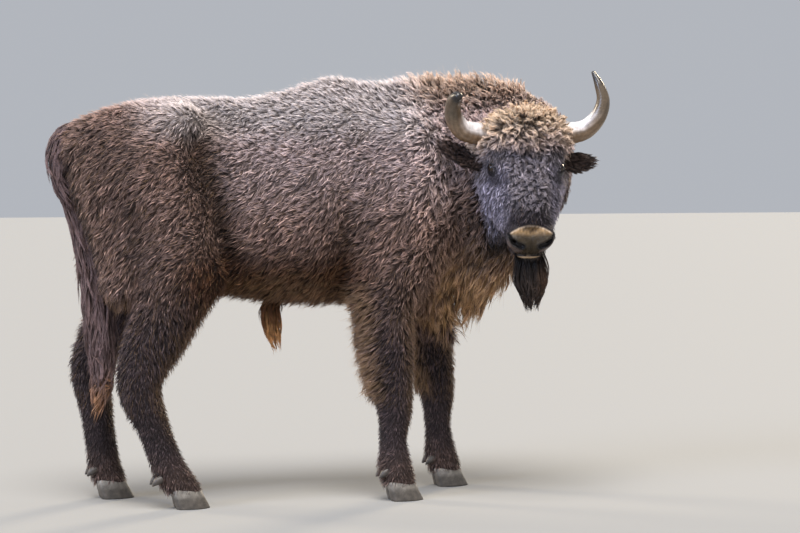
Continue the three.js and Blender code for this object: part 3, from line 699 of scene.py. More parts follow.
def coat_plan(p, n):
    """Per place: tuft length, depth of the coat, width, wave height, waves along the tuft,
    share by which tufts draw together, scatter of the comb direction (radians), lock spacing."""
    x, y, z = p.T
    q, h = to_head(p), head_share(p)
    a, _, b = folded(q).T
    fore, aft, under = n[:, 0], -n[:, 0], -n[:, 2]
    front = smooth(fore, 0.0, 0.5, z, 560, 640, z, 860, 760, x, -450, -400, x, 0, -100)
    from_eye = norm(folded(q) - EYE_AT)
    plan = np.tile([44, 0, 5.2, 2.5, 0.7, 0.62, 0.42, 15], (len(p), 1))
    plan[:, 1] = coat_depth(p)
    for values, share in (
        ((62, 44, 5.0, 5.0, 0.8, 0.7, 0.3, 18), smooth(under, 0.35, 0.8, z, 900, 820)),
        ((50, None, 4.9, 6.0, 1.0, 0.74, 0.8, 16), smooth(x, 380, 620, z, 760, 900)),
        ((64, 58, 4.8, 5.0, 0.9, 0.7, 0.4, 15), smooth(x, 380, 620, z, 1440, 1560)),
        ((120, None, 5.6, 6.0, 1.0, 0.8, 0.25, 22), smooth(x, 560, 690, z, 1060, 840, z, 560, 640)),
        ((30, None, 4.4, 1.5, 0.6, 0.6, 0.3, 12), smooth(z, 760, 480)),
        ((19, None, 3.6, 0.8, 0.5, 0.5, 0.25, 9), smooth(z, 420, 300)),
        ((66, 40, 4.6, 4.0, 0.8, 0.72, 0.35, 18),
         smooth(aft, 0.1, 0.6, z, 370, 430, z, 820, 740, x, 150, 200)),
        ((44, 30, None, 2.0, None, None, None, 14), front),
        ((34, 16, 3.8, 1.0, 0.6, 0.7, 0.3, 12), smooth(aft, 0.0, 0.6, z, 190, 150)),
        ((34, 16, 4.6, 3.0, None, None, None, 14), smooth(x, 950, 1010)),
        ((24, 12, 3.0, 2.5, 0.9, 0.7, 0.45, 11), h),
        ((32, 14, 3.7, 4.0, 0.9, 0.7, 0.4, 13), h * smooth(b, -20, -80, a, 190, 130)),
        ((40, 16, 3.6, 3.0, 0.8, 0.8, 0.3, 12), h * smooth(b, -54, -84, a, 180, 215)),
        ((32, 17, 3.4, 6.0, 1.1, 0.82, 0.9, 13), h * bridge_share(q)),
        ((54, 50, 4.0, 8.0, 1.2, 0.86, 1.3, 15), h * crown_share(q)),
        ((9, 4, 2.4, 0.3, 0.4, 0.3, 0.2, 6), h * smooth(from_eye, 54, 38)),
        ((8, 3.5, 2.2, 0.2, 0.4, 0.3, 0.2, 6), h * smooth(a, 208, 232, b, -84, -54)),
    ):
        values = np.array(values, float)
        plan = mixed(plan, np.where(np.isnan(values), plan, values), share)
    return plan


def allowed(p):
    """Where hair grows: not on the lids, nose pad or soles."""
    q = to_head(p)
    bare = (norm(folded(q) - EYE_AT) < HAIRLESS_LID) | (pad_share(q) > 0.3)
    return (p[:, 2] > 70) & ~((head_share(p) > 0.3) & bare)


# ---- tufts
def vertex_normals(points, tris):
    a, b, c = (points[tris[:, k]] for k in range(3))
    face = np.cross(b - a, c - a)
    total = np.zeros_like(points)
    for k in range(3):
        np.add.at(total, tris[:, k], face)
    return unit(total)


def scattered(points, normals, tris, per_area):
    """Places spread evenly over a mesh, per_area to the square millimetre on each triangle; with
    each place's normal and triangle."""
    a, b, c = (points[tris[:, k]] for k in range(3))
    total = np.cumsum(norm(np.cross(b - a, c - a)) / 2 * per_area)
    count = int(total[-1])
    at = (np.arange(count) + RNG.uniform(0, 1, count)) * total[-1] / count
    face = np.clip(np.searchsorted(total, at), 0, len(tris) - 1)
    u, v = RNG.uniform(0, 1, (2, count))
    over = u + v > 1
    u[over], v[over] = 1 - u[over], 1 - v[over]

    def there(values):
        return sum(values[tris[face, k]] * w[:, None] for k, w in enumerate((1 - u - v, u, v)))

    return there(points), unit(there(normals)), face


def nearest(targets, queries):
    tree = KDTree(len(targets))
    for i, p in enumerate(targets):
        tree.insert(p, i)
    tree.balance()
    return np.array([tree.find(p)[1] for p in queries])


# Widths of a lock's rings as shares of its width, by how many rings it has; how flat it is; and
# the side of its patch on the map.
TAPER = {1: [1.0], 2: [0.9, 0.8], 3: [0.8, 1.0, 0.62], 4: [0.8, 1.0, 0.85, 0.55],
         5: [0.85, 1.0, 0.85, 0.68, 0.52]}
LOCK_FLAT = 0.55
PATCH = 0.003


def tuft_mesh(paths, widths, normals, roll):
    """Closed three-sided locks along paths (count, rings + 1, 3): vertices and triangles."""
    count, rings = paths.shape[0], paths.shape[1] - 1
    ways = unit((paths[:, 1:] - paths[:, :-1]).reshape(-1, 3)).reshape(count, rings, 3)
    n = np.repeat(normals[:, None], rings, 1)
    side = unit(np.cross(n, ways).reshape(-1, 3)).reshape(count, rings, 3)
    up = np.cross(ways, side)
    w = (widths[:, None] * np.array(TAPER[rings]))[..., None] / 2
    corners = []
    for k in range(3):
        angle = (roll + math.pi / 2 + k * 2 * math.pi / 3)[:, None, None]
        corners.append(paths[:, :-1] + w * (np.cos(angle) * side + LOCK_FLAT * np.sin(angle) * up))
    rim = np.stack(corners, 2).reshape(count, rings * 3, 3)
    points = np.concatenate([rim, paths[:, -1:]], 1)
    faces = [(0, 2, 1)]
    for a, b in ((r * 3 + k, r * 3 + (k + 1) % 3) for r in range(rings - 1) for k in range(3)):
        faces += [(a, b, b + 3), (a, b + 3, a + 3)]
    last = (rings - 1) * 3
    faces += [(last + k, last + (k + 1) % 3, rings * 3) for k in range(3)]
    return points, np.array(faces)


def tufts(roots, normals, plan, direction, density, segments):
    """Paths of tufts that follow the guides of their locks, and each tuft's guide."""
    count = len(roots)
    length, depth, width, wave, turns, draw, scatter, lock = plan.T
    guides = np.nonzero(RNG.uniform(0, 1, count) < np.clip(1 / (density * lock ** 2), 0.01, 1))[0]
    g = guides[nearest(roots[guides], roots)]
    angle = scatter * (0.55 * waves(roots, 55, 7) + 0.45 * waves(roots, 150, 8))
    angle = (angle + scatter * 0.45 * RNG.normal(size=count))[:, None]
    way = direction * np.cos(angle) + np.cross(normals, direction) * np.sin(angle)
    side = np.cross(normals, way)
    phase = RNG.uniform(0, FULL_TURN, count)
    reach = length * RNG.uniform(0.78, 1.16, count)
    height = depth * RNG.uniform(0.62, 1.06, count)
    hand = RNG.choice([-1, 1], count)
    stretch = RNG.uniform(0.74, 1.08, count)
    pull = np.where(RNG.uniform(0, 1, count) < 0.10, draw * 0.15, draw)
    jitter = RNG.normal(size=(count, 3)) * (width * 0.45)[:, None]
    flat_run = np.sqrt(np.maximum(reach ** 2 - height ** 2, (reach * 0.25) ** 2))
    paths = np.empty((count, segments + 1, 3))
    for k in range(segments + 1):
        t = (k / segments) * stretch
        rise = height[g] * (1 - (1 - np.minimum(t, 1)) ** 2)
        turn = FULL_TURN * turns[g] * t + phase[g]
        swing = hand[g] * wave[g] * t ** 0.5 * (np.sin(turn) - np.sin(phase[g]))
        lift = 0.5 * wave[g] * t ** 0.5 * (np.cos(turn) - np.cos(phase[g]))
        step = (roots - roots[g]) * (1 - pull * t ** 1.15)[:, None]
        paths[:, k] = (roots[g] + step + way[g] * (flat_run[g] * t)[:, None]
                       + side[g] * swing[:, None] + normals[g] * (rise + lift)[:, None]
                       + jitter * (t ** 1.2)[:, None])
    paths[:, 0] = roots - normals * 1.5
    return paths, g


def tuft_object(name, paths, widths, normals, colours, chart, tips=None):
    """One mesh of many tufts: colours run from dark roots to pale tips (towards `tips`), partly painted
    shade deep in the coat and painted light on the tips; the map OFBake gives each tuft a small patch at its
    root's place on the chart."""
    count, rings = len(paths), paths.shape[1] - 1
    points, faces = tuft_mesh(paths, widths, normals, RNG.uniform(-0.7, 0.7, count))
    faces = (faces[None] + (np.arange(count) * points.shape[1])[:, None, None]).reshape(-1, 3)
    obj = mesh_object(name, points.reshape(-1, 3), faces)
    t = np.append(np.repeat(np.arange(rings), 3), rings) / rings
    across = np.append(np.tile([-0.5, 0.0, 0.5], rings), 0.0)
    far = (t ** 1.5)[None, :, None]
    rgb = colours[:, None, :] * (1 - far) + (colours if tips is None else tips)[:, None, :] * far
    # Dark roots and bright tips: the hair's own darker roots, with painted shade deep in the coat and
    # painted light on the tips.
    rgb = rgb * (0.11 + 1.85 * t)[None, :, None]
    rgb = rgb * np.minimum(1, 0.85 / np.maximum(rgb.max(2, keepdims=True), 1e-6))
    attribute(obj, "coat", rgb.reshape(-1, 3))
    lo, hi = chart.min(0), chart.max(0)
    place = 0.01 + 0.98 * (chart - lo) / np.maximum(hi - lo, 1e-6)
    uv = place[:, None, :] + PATCH * np.stack([across, t - 0.5], -1)[None]
    layer = obj.data.uv_layers.new(name="OFBake")
    layer.uv.foreach_set("vector", uv.reshape(-1, 2)[faces.ravel()].astype(np.float32).ravel())
    return obj


def body_chart(p):
    middle = np.interp(p[:, 0], TRUNK[:, 0], TRUNK[:, 5])
    return np.column_stack([p[:, 0] / 1900, np.arctan2(p[:, 1] - middle, p[:, 2] - 1130) / CHART_TURN])


def head_chart(p):
    q = to_head(p)
    return np.column_stack([q[:, 0] / 560, np.arctan2(q[:, 1], q[:, 2] + 40) / CHART_TURN])


def leg_chart(p):
    which = (p[:, 0] > 60) * 2 + (p[:, 1] > 0)
    middle = 0
    for k, name in enumerate(("hind_right", "hind_left", "front_right", "front_left")):
        at = np.array([a for a, _ in LEGS[name]])[::-1]
        middle = np.where(which == k, np.interp(p[:, 2], at[:, 2], at[:, 0]), middle)
    turn = np.arctan2(np.abs(p[:, 1]) - 170, p[:, 0] - middle) / CHART_TURN + 0.5
    return np.column_stack([(which + 0.96 * turn) / 4, p[:, 2] / 800])


# Coats: region, rings per tuft, square millimetres per tuft, length, depth and width
# as shares of the plan, and brightness.
COATS = (
    ("trunk", "under", 1, 30, 0.90, 0.92, 0.66, 0.96),
    ("trunk", "locks", 2, 300, 1.05, 1.05, 0.95, 1.06),
    ("fore", "under", 1, 38, 0.90, 0.90, 0.70, 0.92),
    ("fore", "locks", 3, 92, 1.05, 1.05, 0.95, 1.08),
    ("legs", "under", 1, 30, 0.95, 0.95, 0.72, 0.96),
    ("legs", "locks", 2, 260, 1.10, 1.10, 0.90, 1.06),
    ("head", "under", 1, 17, 0.85, 0.80, 0.75, 0.90),
    ("head", "locks", 4, 36, 1.00, 1.00, 1.00, 1.08),
    # The guard hairs are bright and half gold: painted backlight glow along the coat's edges.
    ("all", "guard", 1, 620, 1.45, 1.50, 0.34, 1.7),
)
PER_PIECE = {1: 48000, 2: 19500, 3: 12200, 4: 8800}


def coat_over(skin_obj):
    points, tris = mesh_points(skin_obj), triangles_of(skin_obj)
    normals = vertex_normals(points, tris)
    centres = points[tris].mean(1)
    head = head_share(centres) > 0.5
    legs = ~head & (centres[:, 2] < 700)
    fore = ~head & ~legs & (centres[:, 0] > 480)
    where = {"head": head, "legs": legs, "fore": fore, "trunk": ~head & ~legs & ~fore,
             "all": ~legs | (centres[:, 2] > 350)}
    q = to_head(centres)
    curly = np.maximum(crown_share(q), bridge_share(q))
    cheek = smooth(q[:, 2], -20, -80, q[:, 0], 190, 130)
    grows = allowed(centres)
    for region, layer, segments, area, long, deep, wide, bright in COATS:
        per_area = np.where(where[region] & grows, 1 / area, 0)
        if (region, layer) == ("head", "locks"):
            per_area = per_area * np.maximum(np.maximum(curly, 0.6 * cheek), 0.3)
        if layer == "guard":
            per_area = per_area * np.where(head, 0.5, np.where(legs, 2.0, 1.0))
        roots, n, face = scattered(points, normals, tris, per_area)
        count = len(roots)
        plan = coat_plan(roots, n)
        plan[:, :2] *= long, deep
        width = plan[:, 2] * wide * RNG.uniform(0.75, 1.2, count)
        paths, g = tufts(roots, n, plan, lie(roots, n), per_area[face], segments)
        lock = np.exp(RNG.normal(0, 0.34, count))[g]
        tint = coat_colour(roots) * (bright * lock * RNG.uniform(0.84, 1.16, count))[:, None]
        # Guard hairs half gold and bright: painted backlight glow along the coat's edges.
        if layer == "guard":
            tint = mixed(tint, GOLD_AND_BACKLIT * 1.3, np.full(count, 0.5))
        # Gold tips on the mane and leg fringes: gold hair, with painted backlight glow.
        tips = mixed(tint, GOLD_AND_BACKLIT * 1.3 * RNG.uniform(0.7, 1.3, (count, 1)), 0.95 * golden_backlit(roots, n))
        chart = {"legs": leg_chart, "head": head_chart}.get(region, body_chart)(roots)
        bands = np.array_split(np.argsort(chart[:, 0], kind="stable"),
                               max(1, math.ceil(count / PER_PIECE[segments])))
        for i, band in enumerate(bands):
            piece = tuft_object(f"coat_{region}_{layer}_{i + 1}", paths[band], width[band],
                                n[band], tint[band], chart[band], tips=tips[band])
            dress(piece, HAIR, {"legs": "leg_coat", "head": "face_coat"}.get(region, "body_coat"))


# ---- swept forms
def curve_through(path, t):
    """Points, directions and radii at t (0 to 1) on a smooth curve through (x, y, z, r) rows."""
    rows = np.array(path, float)
    p = rows[:, :3]
    p = np.vstack([2 * p[0] - p[1], p, 2 * p[-1] - p[-2]])
    span = len(path) - 1
    i = np.minimum((t * span).astype(int), span - 1)
    f = (t * span - i)[:, None]

    def at(f):
        x0, x1, x2, x3 = (p[i + k] for k in range(4))
        d0, d1, d2 = (np.sqrt(norm(b - a))[:, None]
                      for a, b in ((x0, x1), (x1, x2), (x2, x3)))
        m1 = ((x1 - x0) / d0 - (x2 - x0) / (d0 + d1) + (x2 - x1) / d1) * d1
        m2 = ((x2 - x1) / d1 - (x3 - x1) / (d1 + d2) + (x3 - x2) / d2) * d1
        return (x1 + m1 * f + (3 * (x2 - x1) - 2 * m1 - m2) * f ** 2
                + (2 * (x1 - x2) + m1 + m2) * f ** 3)

    centre = at(f)
    along = unit(at(f + 1e-3) - at(f - 1e-3))
    radius = rows[i, 3] * (1 - f[:, 0]) + rows[i + 1, 3] * f[:, 0]
    return centre, along, radius


def frames(path, t, wide):
    """Points, directions, radii and the two cross directions at t on a curve."""
    centre, along, radius = curve_through(path, t)
    across = unit(np.cross(along, np.array(wide, float)))
    return centre, along, radius, np.cross(along, across), across


def closed_tube(points, rings, sides):
    """Triangles, facing out, of rings of points with one last point at each end."""
    k = np.arange(sides)
    a = (np.arange(rings - 1)[:, None] * sides + k).ravel()
    b = (np.arange(rings - 1)[:, None] * sides + (k + 1) % sides).ravel()
    end, first, last = (rings - 1) * sides, np.full(sides, rings * sides), np.full(sides, rings * sides + 1)
    tris = np.vstack([
        np.column_stack([a, b, b + sides]), np.column_stack([a, b + sides, a + sides]),
        np.column_stack([first, (k + 1) % sides, k]),
        np.column_stack([end + k, end + (k + 1) % sides, last]),
    ])
    a, b, c = ((points - points.mean(0))[tris[:, k]] for k in range(3))
    return tris[:, ::-1] if (a * np.cross(b, c)).sum() < 0 else tris


def swept(path, wide, flat, steps, sides, shape=None):
    """A closed tube: points, triangles and, for each point, its place along and around."""
    t = np.linspace(0, 1, steps)
    centre, along, radius, outward, across = frames(path, t, wide)
    tt, aa = np.meshgrid(t, np.arange(sides) * 2 * math.pi / sides, indexing="ij")
    r = np.repeat(radius[:, None], sides, 1)
    x, z = r * np.cos(aa), r * flat * np.sin(aa)
    if shape:
        x, z = shape(tt, aa, r, x, z)
    rim = centre[:, None] + outward[:, None] * x[..., None] + across[:, None] * z[..., None]
    points = np.vstack([rim.reshape(-1, 3), centre[:1], centre[-1:] + along[-1:] * radius[-1] * 0.5])
    tris = closed_tube(points, steps, sides)
    return points, tris, np.append(tt.ravel(), [0, 1]), np.append(aa.ravel(), [0, 0])


def hanging(name, path, wide, flat, core, count, length, width, colour, part, draw, wave, behind=0.0):
    """A hanging tuft of long hair: a core, and locks that run along it."""
    segments, spread = 5, 0.18

    def slim(t):
        return core[0] + (core[1] - core[0]) * t

    thin = [(x, y, z, r * slim(i / (len(path) - 1))) for i, (x, y, z, r) in enumerate(path)]
    points, tris, _, _ = swept(thin, wide, flat, 8 * len(path), 14)
    body = mesh_object(f"{name}_core", points, tris)
    # The core is darker than its locks: painted shade inside the hanging hair.
    attribute(body, "coat", colour(points) * 0.55)
    angle = RNG.uniform(0, FULL_TURN, count)
    t = RNG.uniform(part[0], part[1], count) - 0.05 * RNG.uniform(0, 1, count) ** 3
    t = np.clip(t - behind * RNG.uniform(0, 1, count) * np.clip(1 - np.sin(angle), 0, 1), 0, 1)
    centre, _, radius, outward, across = frames(thin, t, wide)
    c, s = np.cos(angle)[:, None], np.sin(angle)[:, None]
    n = unit(outward * c * flat + across * s)
    roots = centre + radius[:, None] * (outward * c + across * s * flat)
    guides = np.nonzero(RNG.uniform(0, 1, count) < 0.16)[0]
    full = RNG.uniform(0.76, 1.06, count)
    last = RNG.uniform(0.78, 1.10, count)
    own = guides[nearest(roots[guides], roots)]
    total = norm(np.diff(curve_through(path, np.linspace(0, 1, 60))[0], axis=0)).sum()
    reach = np.minimum(length * RNG.uniform(0.7, 1.15, count), (last - t) * total)
    reach = np.maximum(reach, 0.1 * length)
    phase, hand = RNG.uniform(0, FULL_TURN, count), RNG.uniform(-1, 1, count)[:, None]
    stretch = RNG.uniform(0.8, 1.05, count)
    c, s = c[own], s[own]
    paths = np.empty((count, segments + 1, 3))
    for k in range(segments + 1):
        f = k / segments * stretch
        at = t[own] + f * reach[own] / total
        inside = np.minimum(at, 1.0)
        middle, way, radius, outward, across = frames(path, inside, wide)
        size = (slim(t[own]) + (full[own] - slim(t[own])) * np.clip(f * 1.6, 0, 1)) * radius
        guide = middle + way * ((at - inside) * total)[:, None]
        guide = guide + size[:, None] * (outward * c + across * s * flat)
        swing = wave * f * np.sin(5.0 * f + phase[own])
        loose = (outward * hand + across * (1 - np.abs(hand))) * (f * spread * width * 4)[:, None]
        offset = (roots - roots[own]) * (1 - draw * f ** 1.1)[:, None]
        paths[:, k] = guide + (across * c - outward * s) * swing[:, None] + offset + loose
    widths = width * RNG.uniform(0.7, 1.2, count)
    tint = colour(roots) * RNG.uniform(0.7, 1.3, count)[guides.searchsorted(own)][:, None]
    tint = tint * RNG.uniform(0.85, 1.15, count)[:, None]
    chart = np.column_stack([t, angle / CHART_TURN])
    return body, tuft_object(f"{name}_locks", paths, widths, n, tint, chart)


# ---- horns, ears, eyes and hooves
def horn(side):
    def shape(t, a, r, x, z):
        rings = np.sin(t * 95 + 0.6 * np.sin(3 * a) + 1.2 * np.sin(t * 23))
        flute = 0.012 * np.sin(9 * a + 6 * t) + 0.008 * np.sin(17 * a - 4 * t)
        k = 1 + 0.022 * rings * np.clip(1 - t / 0.55, 0, 1) + flute * (1 - t)
        return x * k, z * k * 0.97

    wide = (0, 0, 1) if side == "left" else (1, 0, 0)
    points, tris, along, around = swept(HORNS[side], wide, 1.0, 90, 40, shape)
    world = from_head(points)
    # Paler where the horn faces up and brown where it faces down: painted highlight from above and painted
    # shade below, over the horn's own tones along its length.
    up = smooth(vertex_normals(world, tris)[:, 2], -0.45, 0.45)
    tone = layered(
        (0.15, 0.115, 0.090),
        (mixed((0.230, 0.150, 0.088), (0.72, 0.68, 0.68), up), smooth(along, 0.04, 0.2)),
        ((0.110, 0.080, 0.052), smooth(along, 0.38, 0.60)),
        ((0.022, 0.019, 0.018), smooth(along, 0.74, 0.93)))
    streak = 0.09 * np.sin(13 * around + 5 * along) + 0.08 * np.sin(29 * around + 2.0)
    obj = mesh_object(f"horn_{side}_smooth", world, tris)
    attribute(obj, "coat", tone * (1 + streak * smooth(along, 1.0, 0.5))[:, None])
    return obj


def ear(side):
    """A cupped ear and its hair."""
    def shape(t, a, r, x, z):
        front = np.sin(a) * (-1 if side == "left" else 1)
        hollow = np.where(front > 0, -0.35 * np.sin(math.pi * np.clip(t * 1.1, 0, 1)), 1.0)
        return x * (1 - 7 / np.maximum(r, 12)), z * hollow * 0.8

    points, tris, along, around = swept(EARS[side], (1, 0, 0.2), 0.42, 26, 22, shape)
    world = from_head(points)
    obj = mesh_object(f"ear_{side}_skin", world, tris)
    attribute(obj, "coat", np.repeat([DARK_SHADED_EAR * 0.8], len(points), 0))
    per_area = 1 / 9.0
    roots, n, face = scattered(world, vertex_normals(world, tris), tris, np.full(len(tris), per_area))
    count, corner = len(roots), tris[face, 0]
    t = along[corner]
    way = curve_through(EARS[side], t)[1] @ HEAD_TURN.T
    direction = tangent(way + [0, 0, -0.55] + 0.15 * RNG.normal(size=(count, 3)), n)
    plan = np.tile([20, 9, 2.6, 1.5, 0.7, 0.6, 0.35, 11], (count, 1))
    plan[:, 0] += 16 * smooth(t, 0.3, 0.9)
    paths, own = tufts(roots, n, plan, direction, np.full(count, per_area), 3)
    tint = np.repeat([DARK_SHADED_EAR * 1.5], count, 0) * RNG.uniform(0.7, 1.5, count)[own][:, None]
    return obj, tuft_object(f"ear_{side}_hair", paths, plan[:, 2], n, tint,
                            np.column_stack([t, around[corner]]))


def eye(side):
    """An eyeball with a bulging cornea, a brown iris and a long pupil."""
    flip = np.array([1, 1 if side == "left" else -1, 1])
    gaze, long, across = GAZE * flip, LONG * flip, ACROSS * flip
    rings, sides = 38, 48
    polar = np.linspace(0, math.pi, rings + 2)[1:-1]
    pp, tt = np.meshgrid(polar, np.arange(sides) * 2 * math.pi / sides, indexing="ij")
    bulge = 1 + CORNEA * np.clip(1 - (pp / 0.62) ** 2, 0, 1) ** 1.5
    pp, tt = pp[..., None], tt[..., None]
    way = np.cos(pp) * gaze + np.sin(pp) * (np.cos(tt) * long + np.sin(tt) * across)
    local = np.vstack([(bulge[..., None] * way).reshape(-1, 3), gaze * (1 + CORNEA), -gaze])
    points = EYE_AT * flip + EYE_R * local
    obj = mesh_object(f"eye_{side}_ball", from_head(points), closed_tube(from_head(points), rings, sides))
    u, v, ahead = local @ long, local @ across, local @ gaze > 0
    iris = smooth(np.hypot(u, v), 0.66, 0.58) * ahead
    pupil = smooth(np.hypot(u / 1.7, v), 0.22, 0.17) * ahead
    fibre = np.where(iris > 0.5, 1 + 0.3 * np.sin(40 * np.arctan2(v, u)), 1)[:, None]
    colour = mixed((0.022, 0.013, 0.010), (0.016, 0.007, 0.003), iris) * fibre
    attribute(obj, "coat", mixed(colour, (0.002, 0.002, 0.003), pupil))
    return obj


def quadratic(a, b, c, n):
    t = np.arange(n)[:, None] / n
    a, b, c = (np.array(v, float) for v in (a, b, c))
    return a * (1 - t) ** 2 + 2 * b * t * (1 - t) + c * t ** 2


def claw(name, toe_x, middle, side):
    """A hoof's claw: rings of its outline from the sole up to the coronet."""
    heel, width = -CLAW_LENGTH, CLAW_WIDTH
    outline = np.vstack([
        quadratic((0, 6), (-30, 1), (heel + 8, 2), 14),
        quadratic((heel + 8, 2), (heel - 4, width * 0.5), (heel + 14, width - 6), 10),
        quadratic((heel + 14, width - 6), (-50, width + 8), (-12, 26), 14),
        quadratic((-12, 26), (2, 14), (0, 6), 6),
    ])
    mid = outline.mean(0)
    from_mid = outline - mid
    levels = (0, 1.2, 4, 9, 15, 22, 29, 36, 43, 50, 57, 63, 68, CORONET + 6)
    drawn_in = (3.5, 1.2, 0.2, 0, 0, 0, 0, 0, 0, 0, 0.3, 0.8, 2.0, 7.0)
    rows = []
    for z, d in zip(levels, drawn_in):
        rise = z / (CORONET - 0.3)
        ridge = 0.5 * math.sin(z * 0.62 + toe_x) * (z > 6)
        x, y = (mid + from_mid * (1 - (d - ridge) / norm(from_mid)[:, None])).T
        rows.append(np.column_stack([toe_x + x * (1 - 0.14 * rise) - 34 * rise,
                                     middle + (y * (1 - 0.1 * rise) + 1) * side, np.full(len(x), z)]))
    points = np.vstack([*rows, rows[0].mean(0), rows[-1].mean(0) + [0, 0, 2]])
    obj = mesh_object(f"{name}_smooth", points, closed_tube(points, len(levels), len(outline)))
    tone = mixed((0.085, 0.072, 0.060), (0.26, 0.235, 0.205), smooth(points[:, 2], 30, 66))
    attribute(obj, "coat", tone * (1 + 0.14 * waves(points, 30, 5))[:, None])
    return obj


def dewclaw(name, x, y):
    def shape(t, a, r, px, pz):
        k = np.sqrt(np.clip(1 - ((t - 0.35) / 0.78) ** 2, 0.05, 1)) * (1 + 0.03 * np.sin(t * 40))
        return px * k, pz * k

    path = [(x - 30, y, 116, 15), (x - 50, y, 105, 15), (x - 66, y, 90, 8)]
    points, tris, _, _ = swept(path, (0, 1, 0), 1.0, 18, 16, shape)
    obj = mesh_object(f"{name}_smooth", points, tris)
    attribute(obj, "coat", [0.07, 0.058, 0.05] * (1 + 0.15 * waves(points, 12, 6))[:, None])
    return obj


# ---- materials
def material(name, roughness, specular=0.5, sheen=0.0, clearcoat=0.0, bumps=(), mottling=(), bare=False):
    """A material coloured by the piece's own markings and painted light and shade. `bumps` are (size m,
    strength, height m) of noise, `mottling` is (size m, amount); `bare` gives the nose pad its own gloss and
    grain."""
    made = bpy.data.materials.new(name)
    made.use_nodes = True
    nodes, links = made.node_tree.nodes, made.node_tree.links
    shader = nodes["Principled BSDF"].inputs
    for socket, value in {
        "Roughness": roughness, "Specular IOR Level": specular, "Sheen Weight": sheen,
        "Sheen Roughness": 0.45, "Sheen Tint": (0.80, 0.86, 1.0, 1),
        "Coat Weight": clearcoat, "Coat Roughness": 0.04,
    }.items():
        shader[socket].default_value = value

    def node(kind, **settings):
        """A node; capital names are its inputs, linked or set, and the rest its own settings."""
        new = nodes.new(f"ShaderNode{kind}")
        for key, value in settings.items():
            if key.islower():
                setattr(new, key, value)
            elif isinstance(value, bpy.types.NodeSocket):
                links.new(value, new.inputs[key.replace("_", " ")])
            else:
                new.inputs[key.replace("_", " ")].default_value = value
        return new.outputs

    def bumped(height, strength, depth):
        below = {"Normal": normal} if normal else {}
        return node("Bump", Height=height, Strength=strength, Distance=depth, **below)["Normal"]

    place = node("TexCoord")["Object"]
    colour = node("Attribute", attribute_name="coat")["Color"]
    for size, amount in mottling:
        noise = node("TexNoise", Vector=place, Scale=1 / size, Detail=4)["Fac"]
        share = node("MapRange", Value=noise, From_Min=0.3, From_Max=0.7,
                     To_Min=1 - amount, To_Max=1 + amount)
        colour = node("VectorMath", operation="SCALE", Vector=colour, Scale=share["Result"])["Vector"]
    links.new(colour, shader["Base Color"])
    normal = None
    for size, strength, height in bumps:
        normal = bumped(node("TexNoise", Vector=place, Scale=1 / size, Detail=3)["Fac"], strength, height)
    if bare:
        pad = node("Attribute", attribute_name="bare")["Fac"]
        cells = node("TexVoronoi", feature="DISTANCE_TO_EDGE", Vector=place, Scale=1 / 0.0045)["Distance"]
        normal = bumped(node("MapRange", Value=cells, From_Max=0.25)["Result"], pad, 0.0007)
        gloss = node("MapRange", Value=pad, To_Min=roughness, To_Max=0.25)["Result"]
        links.new(gloss, shader["Roughness"])
    if normal:
        links.new(normal, shader["Normal"])
    return made


HAIR = material("hair", 0.50, specular=0.27, sheen=0.05, mottling=[(0.03, 0.22), (0.006, 0.15)])
LONG_HAIR = material("long_hair", 0.42, specular=0.25, sheen=0.03, mottling=[(0.02, 0.25)])
HIDE = material("hide", 0.85, specular=0.3, bare=True, mottling=[(0.02, 0.2), (0.004, 0.15)],
                bumps=[(0.0035, 0.6, 0.002), (0.012, 0.3, 0.003)])
HORN = material("horn", 0.27, mottling=[(0.02, 0.2), (0.004, 0.16)], bumps=[(0.004, 0.25, 0.0012)])
HOOF = material("hoof", 0.5, mottling=[(0.015, 0.25), (0.003, 0.15)], bumps=[(0.003, 0.35, 0.0012)])
EYE = material("eye", 0.10, specular=0.2, clearcoat=0.7, mottling=[(0.002, 0.15)])


def skin_colour(p):
    """Root colour of the coat, dark with painted shade under the hair; the bare nose pad and the dark lids;
    and how bare each place is.
    """
    q, h = to_head(p), head_share(p)
    half, down = folded(q), level(q)[0]
    s = half[:, 1]
    pad = pad_share(q) * (h > 0.5)
    lid = smooth(norm(half - EYE_AT), 36, 31) * h
    top = smooth(down + 0.05 * s, 244, 220)
    wing = smooth(s + 1.15 * (down - 234), 84, 98, s, 26, 40, down, 304, 296)
    rim, middle, wall = NOSTRIL
    hole = np.minimum(round_cone(half, rim, middle, 5, 9), round_cone(half, middle, wall, 9, 10))
    leather = layered(
        (0.036, 0.024, 0.012),
        ((0.24, 0.148, 0.068), top),
        ((0.075, 0.042, 0.018), 0.8 * bell(s, 27) * smooth(down, 234, 212)),
        ((0.36, 0.27, 0.19), 0.8 * smooth(down - 0.0046 * s ** 2, 207, 202)),
        ((0.020, 0.014, 0.011), smooth(down, 300, 308)),
        ((0.46, 0.32, 0.20), smooth(np.abs(down - 317), 4.6, 2.4)))
    leather = layered(
        leather * (1 + 0.3 * waves(q, 16, 9) * top)[:, None],
        ((0.120, 0.082, 0.074), 0.8 * wing),
        ((0.300, 0.230, 0.200), 0.7 * wing * smooth(s, 68, 78)),
        # Black nostrils, painted out past the pit: painted shade inside the nostrils.
        ((0.008, 0.006, 0.006), smooth(hole, 12, 1)))
    # The skin under the hair takes the coat's colour at 0.30: dark roots with painted shade under the coat.
    colour = layered(coat_colour(p) * 0.30, (leather, pad), ((0.015, 0.013, 0.016), lid))
    return colour, np.maximum(pad, lid * 0.75)


def beard_colour(p):
    rust = smooth(p[:, 0], 868, 905, p[:, 2], 800, 900)
    pale = smooth(waves(p * [1, 1, 0.3], 22, 11), 0.2, 1.3)
    return layered(BEARD_BLACK * 1.2, ((0.090, 0.064, 0.050), 0.6 * pale),
                   ((0.075, 0.042, 0.026), 0.7 * rust))


